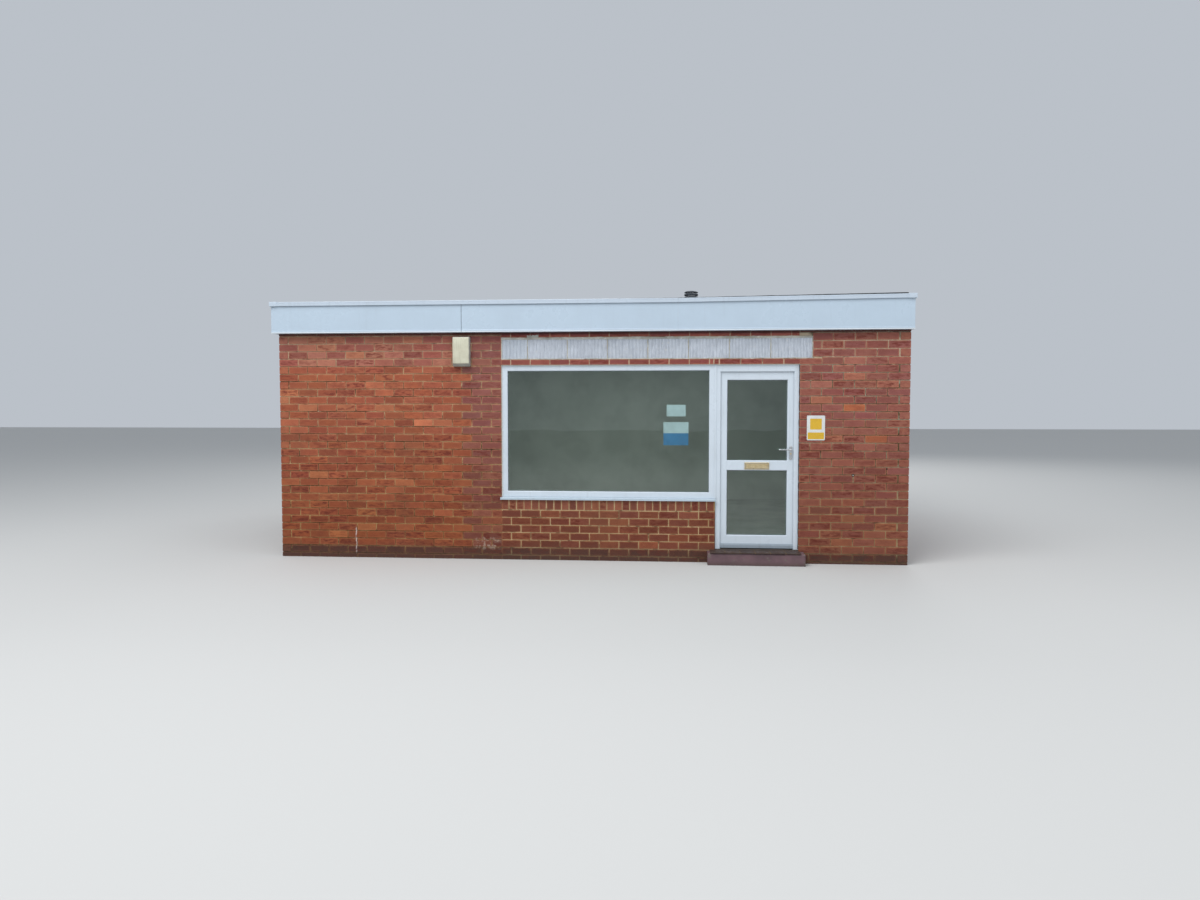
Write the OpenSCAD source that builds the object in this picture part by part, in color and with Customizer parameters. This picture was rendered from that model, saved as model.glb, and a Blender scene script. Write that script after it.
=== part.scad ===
// Single-storey corner shop with a flat roof: red brick walls, one wide shop window, a glazed door,
// a band of concrete blocks over the openings and a white boarded fascia.
// Frame: X to the right along the shop front, Y to the rear, Z up, in millimetres.
// The origin is the centre of the plan on the lowest ground.

/* [Shell] */
// Wall to the left of the shop window
wall_left_w = 2590; // [2000:10:3200]
// Wall to the right of the door
pier_w = 1180; // [800:10:1800]
// Depth of the building, front face to rear face
shop_d = 5600; // [4200:50:8000]
// Thickness of the brick walls
wall_t = 220; // [200:5:340]
// Top of the concrete floor
floor_h = 152; // [150:1:170]
// Top of the bottom course of bricks
first_bed = 135; // [110:1:150]
// Height of one brick course with its joint
course_h = 85.7; // [75:0.1:90]
// Brick courses between the bottom course and the bricks on edge
apron_courses = 5; // [4:1:6]
// Height of the bricks on edge under the window, with their joints
edge_course_h = 121; // [105:1:125]

/* [Openings] */
// Width of the shop window's frame
window_w = 2400; // [1800:10:2600]
// Width of the door's frame
door_w = 916; // [860:2:1000]
// Joint between the window's frame and the door's frame
frame_joint = 4; // [2:1:8]
// Top of both frames
frame_top = 2205; // [2150:5:2250]
// Height of the brick course over the frames, with its joints
lintel_course_h = 70; // [65:1:85]

/* [Concrete band] */
// Length of a whole block
block_l = 440; // [390:5:450]
// Length of the short block at the left end
block_first_l = 285; // [200:5:350]
// Height of a block
block_h = 215; // [190:5:220]
// Thickness of a block
block_t = 100; // [90:5:105]
// Joint between two blocks
block_joint = 10; // [6:1:14]
// Whole blocks in the band
block_count = 7; // [5:1:8]
// Height of the lintel beam behind the blocks
beam_h = 150; // [140:5:215]
// Length of wall that the lintel beam bears on at each end
beam_bearing = 150; // [100:10:200]

/* [Window] */
// Depth of the frames, outside to inside
frame_d = 70; // [60:1:80]
// Distance of the frames behind the wall's face
frame_recess = 25; // [10:1:60]
// Width of the frame's body, seen from the front
frame_face = 54; // [44:1:70]
// Lip that covers the glass edge or the door's edge, in width
lip_w = 14; // [10:1:18]
// Lip, in depth
lip_d = 14; // [10:1:18]
// Thickness of the shop window's sealed glass
pane_t = 28; // [20:1:32]
// Height of the projecting cill under the window
cill_h = 30; // [20:1:40]
// Projection of the cill in front of the wall
cill_out = 22; // [10:1:40]
// Length of the cill's horns past the frame
cill_horn = 14; // [5:1:30]
// Clearance of a piece that lies in its seat
seat = 0.3; // [0.2:0.1:0.5]
// Width of the glazing beads on the room side
bead_w = 18; // [12:1:22]
// Depth of the glazing beads
bead_d = 14; // [8:1:18]
// Width of the strip over the joint between the two frames
strip_w = 28; // [18:1:40]
// Thickness of that strip
strip_t = 5; // [3:1:8]
// Bevel on the edges of the frames and beads that face the glass
bevel_w = 6; // [3:1:9]
// Fall of the cill's nose
cill_fall = 5; // [2:1:10]

/* [Door] */
// Width of the door frame's body, seen from the front
jamb_face = 44; // [38:1:56]
// Height of the door frame's head
head_face = 70; // [50:1:80]
// Height of the threshold's body
threshold_h = 35; // [30:1:50]
// Height of the threshold's base over the floor
threshold_base = 11; // [6:1:20]
// Gap beside the door at the hinges
hinge_gap = 5; // [5:0.5:7]
// Gap beside the door at the lock
lock_gap = 8; // [8:0.5:10]
// Gap over and under the door
end_gap = 7; // [6:0.5:10]
// Gap between the lip and the door's outer face
face_gap = 6; // [6:0.5:8]
// Width of the door's side members, seen between the lips
stile_w = 72; // [60:1:90]
// Height of the door's top rail, seen under the lip
top_rail_h = 91; // [70:1:110]
// Height of the door's middle rail
mid_rail_h = 114; // [106:1:140]
// Height of the door's bottom rail, seen over the lip
bottom_rail_h = 96; // [80:1:120]
// Distance of the base under the door behind the wall's face
base_recess = 20; // [10:1:40]
// Middle of the middle rail over the lowest ground
mid_rail_z = 1085; // [950:5:1200]
// Thickness of the door's sealed glass
door_pane_t = 24; // [18:1:26]

/* [Ironmongery] */
// Radius of a hinge knuckle
knuckle_r = 8; // [7:0.5:8]
// Radius of a hinge pin
hinge_pin_r = 4; // [3:0.5:5]
// Height of one half of a hinge
hinge_half_h = 48; // [40:1:60]
// Width of a hinge flag
flag_w = 34; // [26:1:38]
// Thickness of a hinge flag
flag_t = 4; // [3:0.5:5]
// Hinges on the door
hinge_count = 3; // [2:1:4]
// Distance of the outer hinges from the ends of the door
hinge_end = 170; // [120:5:260]
// Gap between the flags and the hinge's axis
flag_gap = 2; // [1.5:0.5:4]
// Radial clearance of a shaft in its bore
running = 0.08; // [0.05:0.01:0.1]
// Width of a handle plate
plate_w = 34; // [28:1:36]
// Height of a handle plate
plate_h = 154; // [140:2:180]
// Thickness of a handle plate
plate_t = 8; // [5:1:10]
// Distance of a handle plate from the door's seen edge
plate_side = 13; // [8:1:25]
// Height of the handle plate's end over its rounded part's middle
plate_over = 5; // [2:1:12]
// Height of the lever's axis over the lowest ground
lever_z = 1263; // [1230:1:1300]
// Length of the lever from its axis to its end
lever_l = 132; // [100:1:140]
// Radius of the lever's neck
neck_r = 9; // [7:0.5:11]
// Radius of the lever's grip
grip_r = 7; // [5:0.5:9]
// Distance of the grip's axis from the plate
grip_out = 34; // [28:1:45]
// Side of the square spindle
spindle_a = 8; // [7:0.5:9]
// Radius of the lock's cylinder
lock_r = 8.5; // [7:0.5:9]
// Distance of the lock under the lever
lock_drop = 48; // [40:1:60]
// Length of the lock's cylinder over the plates
lock_out = 2; // [1:0.5:4]
// Width of the letter plate
letter_w = 270; // [240:2:300]
// Height of the letter plate
letter_h = 76; // [68:1:90]
// Thickness of the letter plate
letter_t = 11; // [9:1:14]
// Width of the rim round the flap
letter_rim = 10; // [8:1:14]
// Middle of the letter plate under the middle of the rail
letter_drop = 6; // [0:1:12]
// Margin of the slot in the door inside the plate's hole
slot_margin = 10; // [8:1:14]
// Gap round the letter flap
flap_gap = 5; // [5:0.5:7]
// Thickness of the letter flap
flap_t = 3; // [2:0.5:4]
// Radius of the letter flap's knuckle
flap_knuckle_r = 3.5; // [3:0.25:4]
// Radius of the letter flap's pins
flap_pin_r = 2; // [1.5:0.25:2.5]

/* [Step] */
// Length of the step past the door's frame at the left
step_left = 87; // [20:1:200]
// Length of the step past the door's frame at the right
step_right = 57; // [20:1:200]
// Projection of the step
step_d = 185; // [120:5:320]
// Height of the step's block
step_h = 133; // [100:1:140]
// Thickness of the tiles on the step
tile_t = 13; // [8:1:14]
// Projection of the tiles over the block
tile_nose = 10; // [0:1:20]
// Length of the tiled part past the door's frame at the left
tile_left = 59; // [0:1:180]
// Length of the tiled part past the door's frame at the right
tile_right = 5; // [0:1:180]

/* [Roof] */
// Height of the brickwork seen between the blocks and the fascia
reveal_h = 81; // [50:1:130]
// Height of the brickwork over the blocks
top_courses_h = 206; // [170:1:260]
// Height of the roof trim
trim_h = 46; // [35:1:60]
// Height of the trim's top bead over the deck
bead_h = 16; // [10:1:20]
// Bevel on the trim's bead
bead_bevel = 3; // [1:0.5:4]
// Distance of the trim's face in front of the fascia
trim_out = 12; // [8:1:20]
// Thickness of the trim's face
trim_wall = 4; // [2:0.5:5]
// Width of the trim's flange, from its face
trim_flange_l = 78; // [60:1:90]
// Thickness of the trim's flange
flange_t = 3; // [2:0.5:4]
// Length of a corner cover along each trim
corner_l = 84; // [82:1:120]
// Thickness of a corner cover
corner_wall = 3; // [2:0.5:5]
// Rise of the roof edge over its right part
roof_rise = 24; // [0:1:40]
// Joist, counted from the left wall, where the rise starts
bend_joist = 10; // [9:1:11]
// Overhang of the fascia at the front and rear
overhang = 85; // [60:5:150]
// Overhang of the fascia at the left
left_overhang = 50; // [40:1:90]
// Thickness of the fascia boards
board_t = 18; // [12:1:25]
// Place of the open joint in the front fascia, from the left face of the building
fascia_joint = 2155; // [1500:5:4000]
// Gap in that joint
joint_gap = 5; // [2:1:8]
// Gap between boards or sheets laid tight
seam = 2; // [1:0.5:4]
// Thickness of the soffit boards
soffit_t = 9; // [6:1:12]
// Thickness of the roof deck
deck_t = 18; // [15:1:25]
// Height of the roof joists
joist_h = 195; // [170:5:205]
// Thickness of a roof joist
joist_t = 47; // [38:1:63]
// Distance between two joists
joist_pitch = 455; // [420:5:500]
// Thickness of the ceiling
ceiling_t = 13; // [9:1:15]
// Thickness of the roof felt
felt_t = 5; // [3:1:8]
// Start of the felt's turned-up edge, from the left face of the building
upstand_start = 3400; // [2500:50:4600]
// Height of the felt's turned-up edge over the trim at the right end
felt_lip = 14; // [4:1:25]

/* [Roof vent] */
// Place of the vent's axis, from the left face of the building
vent_x = 4740; // [4650:10:5200]
// Place of the vent's axis, from the front face
vent_y = 1500; // [1000:50:2500]
// Radius of the vent's cap
vent_cap_r = 88; // [75:1:110]
// Radius of the vent's pipe
vent_pipe_r = 55; // [40:1:60]
// Height of the vent over the roof
vent_h = 285; // [240:5:400]
// Height of a slat's edge
slat_h = 18; // [12:1:24]
// Distance between two slats
slat_pitch = 34; // [30:1:40]
// Slats under the cap
slat_count = 2; // [1:1:4]
// Fall of a slat's top
vent_slope = 5; // [3:1:8]

/* [Fixtures] */
// Left side of the alarm box, from the left face of the building
alarm_x = 2045; // [1800:5:2200]
// Distance of the alarm box under the fascia
alarm_drop = 49; // [20:1:120]
// Width of the alarm box
alarm_w = 196; // [150:2:250]
// Height of the alarm box
alarm_h = 332; // [280:2:360]
// Depth of the alarm box
alarm_d = 72; // [50:2:90]
// Height of the sloping band at its foot
alarm_foot = 34; // [20:2:50]
// Height of the sloping edge at its top
alarm_brow = 14; // [8:1:20]
// Left side of the wall sign, from the right side of the opening
sign_x = 78; // [40:2:300]
// Bottom of the wall sign
sign_z = 1368; // [1200:2:1700]
// Width of the wall sign
sign_w = 196; // [150:2:260]
// Height of the wall sign
sign_h = 272; // [200:2:350]
// Thickness of the wall sign
sign_t = 4; // [2:0.5:6]

/* [Hidden] */
$fn = 64;

brick_red = "#9d5343";
concrete = "#b9bcbf";
upvc = "#e6ecf2";
timber = "#c8a878";
glass = "#5a7068";
steel = "#c9ccd0";
brass = "#c8ad74";
felt = "#3c3e42";

// Plan of the shell
opening_w = window_w + frame_joint + door_w;
shop_w = wall_left_w + opening_w + pier_w;
left_x = -shop_w / 2;
right_x = shop_w / 2;
front_y = -shop_d / 2;
rear_y = shop_d / 2;
inner_x = [left_x + wall_t, right_x - wall_t];
inner_y = [front_y + wall_t, rear_y - wall_t];
open_x = [left_x + wall_left_w, left_x + wall_left_w + opening_w];
front_wall_y = [front_y, front_y + wall_t];

// Levels
apron_top = first_bed + apron_courses * course_h;
window_base = apron_top + edge_course_h;
band_x = [open_x[0] + block_joint,
    open_x[0] + block_joint + block_first_l + block_count * (block_l + block_joint)];
block_base = frame_top + lintel_course_h;
block_top = block_base + block_h;
beam_z = [frame_top, frame_top + beam_h];
beam_y = [front_y + block_t, front_y + wall_t];
fascia_bottom = block_top + reveal_h;
wall_top = block_top + top_courses_h;
joist_top = wall_top + joist_h;
deck_z = joist_top + deck_t;
trim_flange_z = trim_h - bead_h;
trim_z = deck_z - trim_flange_z + seat;
alarm_z = fascia_bottom - alarm_drop - alarm_h;

// Roof edge
fascia_front_y = [front_y - overhang, front_y - overhang + board_t];
fascia_x = [left_x - left_overhang, right_x + board_t];
joint_x = left_x + fascia_joint;
bend_x = left_x + bend_joist * joist_pitch + joist_t / 2;
slope_angle = atan(roof_rise / (right_x - bend_x));
trim_x = [fascia_x[0] - trim_out, fascia_x[1] + trim_out];
trim_y = [front_y - overhang - trim_out, rear_y + overhang + trim_out];

// Frames
frame_y = [front_y + frame_recess, front_y + frame_recess + frame_d];
lip_y = [frame_y[0], frame_y[0] + lip_d];
pane_y = [lip_y[1] + seat, lip_y[1] + seat + pane_t];
bead_y = [pane_y[1] + seat, pane_y[1] + seat + bead_d];
window_x = [open_x[0], open_x[0] + window_w];
window_z = [window_base + cill_h, frame_top];
pane_x = [window_x[0] + frame_face + seat, window_x[1] - frame_face - seat];
pane_z = [window_z[0] + frame_face + seat, window_z[1] - frame_face - seat];

// Door set
door_x = [open_x[1] - door_w, open_x[1]];
threshold_z = [floor_h + threshold_base, floor_h + threshold_base + threshold_h];
leaf_x = [door_x[0] + jamb_face + hinge_gap, door_x[1] - jamb_face - lock_gap];
leaf_z = [threshold_z[1] + end_gap, frame_top - head_face - end_gap];
leaf_y = [lip_y[1] + face_gap, frame_y[1]];
leaf_lip_y = [leaf_y[0], leaf_y[0] + lip_d];
sight_x = [door_x[0] + jamb_face + lip_w, door_x[1] - jamb_face - lip_w];
sight_z = [threshold_z[1] + lip_w, frame_top - head_face - lip_w];
light_x = [sight_x[0] + stile_w, sight_x[1] - stile_w];
upper_z = [mid_rail_z + mid_rail_h / 2, sight_z[1] - top_rail_h];
lower_z = [sight_z[0] + bottom_rail_h, mid_rail_z - mid_rail_h / 2];
rebate = lip_w;
door_pane_y = [leaf_lip_y[1] + seat, leaf_lip_y[1] + seat + door_pane_t];
door_bead_y = [door_pane_y[1] + seat, leaf_y[1]];
hinge_axis = [leaf_x[0] - hinge_gap / 2, frame_y[1] + knuckle_r + 1];

// Handles and lock
lever_x = sight_x[1] - plate_w / 2 - plate_side;
plate_z = [lever_z - plate_h + plate_w + plate_over, lever_z + plate_w + plate_over];
plate_outer_y = [leaf_y[0] - plate_t, leaf_y[0]];
plate_inner_y = [leaf_y[1], leaf_y[1] + plate_t];
spindle_hole_r = spindle_a * 0.75;
lock_z = lever_z - lock_drop;

// Letter plate
letter_x = (light_x[0] + light_x[1]) / 2;
letter_z = mid_rail_z - letter_drop;
letter_hole = [letter_w - 2 * letter_rim, letter_h - 2 * letter_rim];
flap_size = [letter_hole[0] - 2 * flap_gap, letter_hole[1] - 2 * flap_gap];
flap_axis = [leaf_y[0] - letter_t / 2 - 1, letter_z + flap_size[1] / 2 - flap_knuckle_r];
slot_size = [letter_hole[0] - 2 * slot_margin, letter_hole[1] - 2 * slot_margin];

// How far the roof has risen at x: level at first, then up to the right
function rise(x) = x <= bend_x ? 0 : roof_rise * (x - bend_x) / (right_x - bend_x);

// A box between two corners, each given as low and high along an axis
module span(x, y, z) {
    translate([x[0], y[0], z[0]]) cube([x[1] - x[0], y[1] - y[0], z[1] - z[0]]);
}

// An X-Z outline drawn out along Y
module along_y(y) {
    translate([0, y[1], 0]) rotate([90, 0, 0]) linear_extrude(y[1] - y[0]) children();
}

// A Y-Z outline drawn out along X
module along_x(x) {
    translate([x[0], 0, 0]) rotate([90, 0, 90]) linear_extrude(x[1] - x[0]) children();
}

// A ring of one section round an X-Z rectangle
module ring(x, y, z, w) {
    difference() {
        span(x, y, z);
        span([x[0] + w, x[1] - w], [y[0] - 1, y[1] + 1], [z[0] + w, z[1] - w]);
    }
}

// A cut that widens a hole by w at the face y and slopes back to the hole's own size
module bevel(x, y, z, w) {
    g = w + 1;
    polyhedron(points = [
        [x[0] - g, y - 1, z[0] - g], [x[1] + g, y - 1, z[0] - g],
        [x[1] + g, y - 1, z[1] + g], [x[0] - g, y - 1, z[1] + g],
        [x[0], y + w, z[0]], [x[1], y + w, z[0]], [x[1], y + w, z[1]], [x[0], y + w, z[1]]],
        faces = [[0, 3, 2, 1], [4, 5, 6, 7], [0, 1, 5, 4], [1, 2, 6, 5], [2, 3, 7, 6], [3, 0, 4, 7]]);
}

// Beads round a pane, bevelled on the room side
module beads(x, y, z) {
    difference() {
        ring(x, y, z, bead_w);
        mirror([0, 1, 0])
            bevel([x[0] + bead_w, x[1] - bead_w], -y[1], [z[0] + bead_w, z[1] - bead_w], bevel_w);
    }
}

module floor_slab() {
    color(concrete) span(inner_x, inner_y, [0, floor_h]);
}

module front_wall_left() {
    color(brick_red) difference() {
        span([left_x, open_x[0]], front_wall_y, [0, wall_top]);
        span([open_x[0] - beam_bearing, open_x[0] + 1], [beam_y[0], beam_y[1] + 1], beam_z);
    }
}

module front_wall_under_window() {
    color(brick_red) span(window_x, front_wall_y, [0, apron_top]);
}

module brick_sill() {
    color(brick_red) span(window_x, front_wall_y, [apron_top, window_base]);
}

module front_wall_right() {
    color(brick_red) difference() {
        span([open_x[1], right_x], front_wall_y, [0, wall_top]);
        span([open_x[1] - 1, open_x[1] + beam_bearing], [beam_y[0], beam_y[1] + 1], beam_z);
        span([open_x[1] - 1, band_x[1]], [front_y - 1, front_y + block_t], [block_base, block_top]);
    }
}

module lintel_course() {
    color(brick_red) span(open_x, [front_y, front_y + block_t], [frame_top, block_base]);
}

module block_band() {
    color(concrete) {
        span([band_x[0], band_x[0] + block_first_l], [front_y, front_y + block_t], [block_base, block_top]);
        for (i = [0 : block_count - 1]) {
            x = band_x[0] + block_first_l + block_joint + i * (block_l + block_joint);
            span([x, x + block_l], [front_y, front_y + block_t], [block_base, block_top]);
        }
    }
}

module inner_lintel() {
    color(concrete) span([open_x[0] - beam_bearing, open_x[1] + beam_bearing], beam_y, beam_z);
}

// The wall over the blocks, with its inner leaf down to the lintel beam
module front_wall_top() {
    color(brick_red) along_x(open_x) polygon([
        [front_y, block_top], [beam_y[0], block_top], [beam_y[0], beam_z[1]], [beam_y[1], beam_z[1]],
        [beam_y[1], wall_top], [front_y, wall_top]]);
}

module door_base() {
    color(concrete) span([window_x[1], open_x[1]], [front_y + base_recess, front_y + wall_t], [0, floor_h]);
}

module left_wall() {
    color(brick_red) span([left_x, left_x + wall_t], inner_y, [0, wall_top]);
}

module right_wall() {
    color(brick_red) span([right_x - wall_t, right_x], inner_y, [0, wall_top]);
}

module rear_wall() {
    color(brick_red) span([left_x, right_x], [rear_y - wall_t, rear_y], [0, wall_top]);
}

module window_frame() {
    w = frame_face + lip_w;
    color(upvc) difference() {
        union() {
            ring(window_x, frame_y, window_z, frame_face);
            ring(window_x, lip_y, window_z, w);
        }
        bevel([window_x[0] + w, window_x[1] - w], lip_y[0], [window_z[0] + w, window_z[1] - w], bevel_w);
    }
}

module window_glass() {
    color(glass) span(pane_x, pane_y, pane_z);
}

module window_beads() {
    color(upvc) beads(pane_x, bead_y, pane_z);
}

// The cill slopes to throw off water, and its nose has a horn at each end past the frame
module window_cill() {
    nose_z = [window_base + seat, window_z[0] - cill_fall];
    color(upvc) {
        along_x(window_x) polygon([[front_y - cill_out, nose_z[0]], [front_y, nose_z[0]],
            [front_y, window_base], [frame_y[1], window_base], [frame_y[1], window_z[0]],
            [frame_y[0], window_z[0]], [front_y - cill_out, nose_z[1]]]);
        for (x = [[window_x[0] - cill_horn, window_x[0]], [window_x[1], window_x[1] + cill_horn]])
            span(x, [front_y - cill_out, front_y - seat], nose_z);
    }
}

module coupling_strip() {
    x = window_x[1] + frame_joint / 2;
    color(upvc) span([x - strip_w / 2, x + strip_w / 2], [frame_y[0] - strip_t, frame_y[0]],
        [window_z[0], frame_top]);
}

// The jambs run down to the floor and the threshold lies between them
module door_frame() {
    color(upvc) {
        difference() {
            span(door_x, frame_y, [floor_h, frame_top]);
            span([door_x[0] + jamb_face, door_x[1] - jamb_face], [frame_y[0] - 1, frame_y[1] + 1],
                [floor_h - 1, frame_top - head_face]);
        }
        difference() {
            span(door_x, lip_y, [floor_h, frame_top]);
            span(sight_x, [lip_y[0] - 1, lip_y[1] + 1], [floor_h - 1, sight_z[1]]);
            bevel(sight_x, lip_y[0], [floor_h - 1, sight_z[1]], bevel_w);
        }
    }
}

module door_threshold() {
    color(upvc) {
        span([door_x[0] + jamb_face, door_x[1] - jamb_face], [lip_y[1], frame_y[1]], threshold_z);
        span(sight_x, [lip_y[0], lip_y[1]], [threshold_z[0], sight_z[0]]);
    }
}

// Members of the door round two glazed openings, each with a lip outside and a rebate inside
module door_leaf() {
    color(upvc) difference() {
        span(leaf_x, leaf_y, leaf_z);
        for (z = [lower_z, upper_z]) {
            span(light_x, [leaf_y[0] - 1, leaf_y[1]], z);
            bevel(light_x, leaf_y[0], z, bevel_w);
            span([light_x[0] - rebate, light_x[1] + rebate], [leaf_lip_y[1], leaf_y[1] + 1],
                [z[0] - rebate, z[1] + rebate]);
        }
        translate([letter_x - slot_size[0] / 2, leaf_y[0] - 1, letter_z - slot_size[1] / 2])
            cube([slot_size[0], leaf_y[1] - leaf_y[0] + 2, slot_size[1]]);
        bore_y(lever_x, lever_z, spindle_hole_r, leaf_y);
        bore_y(lever_x, lock_z, lock_r + running, leaf_y);
    }
}

// A round hole right through along Y
module bore_y(x, z, r, y) {
    translate([x, y[0] - 1, z]) rotate([-90, 0, 0]) cylinder(h = y[1] - y[0] + 2, r = r);
}

module door_pane(z) {
    span([light_x[0] - rebate + seat, light_x[1] + rebate - seat], door_pane_y,
        [z[0] - rebate + seat, z[1] + rebate - seat]);
}

module door_glass() {
    color(glass) for (z = [lower_z, upper_z]) door_pane(z);
}

module door_beads() {
    color(upvc) for (z = [lower_z, upper_z])
        beads([light_x[0] - rebate + seat, light_x[1] + rebate - seat], door_bead_y,
            [z[0] - rebate + seat, z[1] + rebate - seat]);
}

// A rim with a thin back, open behind the flap, and a bore at each end for the flap's pins
module letter_plate() {
    color(brass) difference() {
        translate([letter_x - letter_w / 2, leaf_y[0] - letter_t, letter_z - letter_h / 2])
            cube([letter_w, letter_t, letter_h]);
        translate([letter_x - letter_hole[0] / 2, leaf_y[0] - letter_t - 1, letter_z - letter_hole[1] / 2])
            cube([letter_hole[0], letter_t + 2, letter_hole[1]]);
        translate([letter_x - letter_w / 2 - 1, flap_axis[0], flap_axis[1]]) rotate([0, 90, 0])
            cylinder(h = letter_w + 2, r = flap_pin_r + running);
    }
}

module letter_flap() {
    color(brass) {
        translate([letter_x - flap_size[0] / 2, flap_axis[0] - flap_t / 2, letter_z - flap_size[1] / 2])
            cube([flap_size[0], flap_t, flap_axis[1] - letter_z + flap_size[1] / 2]);
        translate([letter_x - flap_size[0] / 2, flap_axis[0], flap_axis[1]]) rotate([0, 90, 0])
            cylinder(h = flap_size[0], r = flap_knuckle_r);
        translate([letter_x - letter_w / 2 + 2, flap_axis[0], flap_axis[1]]) rotate([0, 90, 0])
            cylinder(h = letter_w - 4, r = flap_pin_r);
    }
}

module handle_plate(y) {
    difference() {
        union() {
            span([lever_x - plate_w / 2, lever_x + plate_w / 2], y,
                [plate_z[0] + plate_w / 2, plate_z[1] - plate_w / 2]);
            for (z = [plate_z[0] + plate_w / 2, plate_z[1] - plate_w / 2])
                translate([lever_x, y[0], z]) rotate([-90, 0, 0]) cylinder(h = y[1] - y[0], r = plate_w / 2);
        }
        bore_y(lever_x, lever_z, neck_r + running, y);
        bore_y(lever_x, lock_z, lock_r + running, y);
    }
}

module handle_plates() {
    color(steel) {
        handle_plate(plate_outer_y);
        handle_plate(plate_inner_y);
    }
}

// Neck, knuckle and grip of a lever, with its neck's end on y and its grip on the side given by way
module lever(y, way) {
    grip_y = y + way * grip_out;
    color(steel) {
        translate([lever_x, min(y, grip_y), lever_z]) rotate([-90, 0, 0])
            cylinder(h = grip_out, r = neck_r);
        translate([lever_x, grip_y, lever_z]) sphere(neck_r);
        translate([lever_x - lever_l + grip_r, grip_y, lever_z]) rotate([0, 90, 0])
            cylinder(h = lever_l - grip_r, r = grip_r);
        translate([lever_x - lever_l + grip_r, grip_y, lever_z]) sphere(grip_r);
    }
}

// The outer and inner levers on one square spindle
module lever_handles() {
    y = [leaf_y[0] - seat, leaf_y[1] + seat];
    lever(y[0], -1);
    lever(y[1], 1);
    color(steel) span([lever_x - spindle_a / 2, lever_x + spindle_a / 2], y,
        [lever_z - spindle_a / 2, lever_z + spindle_a / 2]);
}

module lock_cylinder() {
    color(brass) translate([lever_x, plate_outer_y[0] - lock_out, lock_z]) rotate([-90, 0, 0])
        cylinder(h = plate_inner_y[1] - plate_outer_y[0] + 2 * lock_out, r = lock_r);
}

hinge_span = leaf_z[1] - leaf_z[0] - 2 * hinge_end - 2 * hinge_half_h;
function hinge_z(i) = leaf_z[0] + hinge_end + i * hinge_span / (hinge_count - 1);

// Half of a flag hinge: a knuckle on the axis and a flag screwed to the face at x
module hinge_half(x, z) {
    translate([hinge_axis[0], hinge_axis[1], z]) cylinder(h = hinge_half_h, r = knuckle_r);
    span(x, [frame_y[1], frame_y[1] + flag_t], [z, z + hinge_half_h]);
}

module hinge_fixed_halves() {
    color(upvc) for (i = [0 : hinge_count - 1]) {
        hinge_half([hinge_axis[0] - flag_w, hinge_axis[0] - flag_gap], hinge_z(i));
        translate([hinge_axis[0], hinge_axis[1], hinge_z(i)])
            cylinder(h = 2 * hinge_half_h - 2, r = hinge_pin_r);
    }
}

module hinge_door_halves() {
    color(upvc) for (i = [0 : hinge_count - 1]) difference() {
        hinge_half([hinge_axis[0] + hinge_gap / 2, hinge_axis[0] + flag_w], hinge_z(i) + hinge_half_h + 1);
        translate([hinge_axis[0], hinge_axis[1], hinge_z(i)])
            cylinder(h = 2 * hinge_half_h, r = hinge_pin_r + running);
    }
}

module door_step() {
    color("#96706a") span([door_x[0] - step_left, door_x[1] + step_right], [front_y - step_d, front_y],
        [0, step_h]);
}

module step_tile() {
    color("#6e503f") span([door_x[0] - tile_left, door_x[1] + tile_right],
        [front_y - step_d - tile_nose, front_y], [step_h, step_h + tile_t]);
}

// Outline of a fascia board, its top edge following the roof
module board_outline(x) {
    polygon([[x[0], fascia_bottom], [x[1], fascia_bottom], [x[1], deck_z + rise(x[1])],
        [x[0], deck_z + rise(x[0])]]);
}

// Three boards, with an open joint between the first two and a tight one where the roof starts to rise
module fascia_front() {
    color(upvc) along_y(fascia_front_y) {
        board_outline([fascia_x[0], joint_x - joint_gap / 2]);
        board_outline([joint_x + joint_gap / 2, bend_x - seam / 2]);
        board_outline([bend_x + seam / 2, fascia_x[1]]);
    }
}

module fascia_rear() {
    color(upvc) along_y([rear_y + overhang - board_t, rear_y + overhang]) {
        board_outline([fascia_x[0], bend_x - seam / 2]);
        board_outline([bend_x + seam / 2, fascia_x[1]]);
    }
}

module fascia_sides() {
    y = [front_y - overhang + board_t, rear_y + overhang - board_t];
    color(upvc) {
        span([fascia_x[0], fascia_x[0] + board_t], y, [fascia_bottom, deck_z]);
        span([right_x, fascia_x[1]], y, [fascia_bottom, deck_z + roof_rise]);
    }
}

module soffits() {
    x = [fascia_x[0] + board_t, right_x];
    z = [fascia_bottom, fascia_bottom + soffit_t];
    color(upvc) {
        span(x, [fascia_front_y[1], front_y], z);
        span(x, [rear_y, rear_y + overhang - board_t], z);
        span([x[0], left_x], [front_y + seam, rear_y - seam], z);
    }
}

// Section of the roof trim: an upright face with a bead on top and a flange over the deck
module trim_section() {
    bead_t = trim_wall + 2 * bead_bevel;
    polygon([[0, 0], [trim_wall, 0], [trim_wall, trim_flange_z], [trim_flange_l, trim_flange_z],
        [trim_flange_l, trim_flange_z + flange_t], [bead_t, trim_flange_z + flange_t],
        [bead_t, trim_h - bead_bevel], [bead_t - bead_bevel, trim_h], [bead_bevel, trim_h],
        [0, trim_h - bead_bevel]]);
}

// A length of level trim, and the length over the rising part of the roof, up to x
module trim_level(x) {
    translate([0, trim_y[0], trim_z]) along_x(x) trim_section();
}

module trim_rising(x) {
    translate([bend_x, trim_y[0], trim_z]) rotate([0, -slope_angle, 0])
        along_x([seam, (x - bend_x) / cos(slope_angle)]) trim_section();
}

module trim_front() {
    color(upvc) {
        trim_level([trim_x[0], bend_x]);
        trim_rising(trim_x[1]);
    }
}

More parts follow.
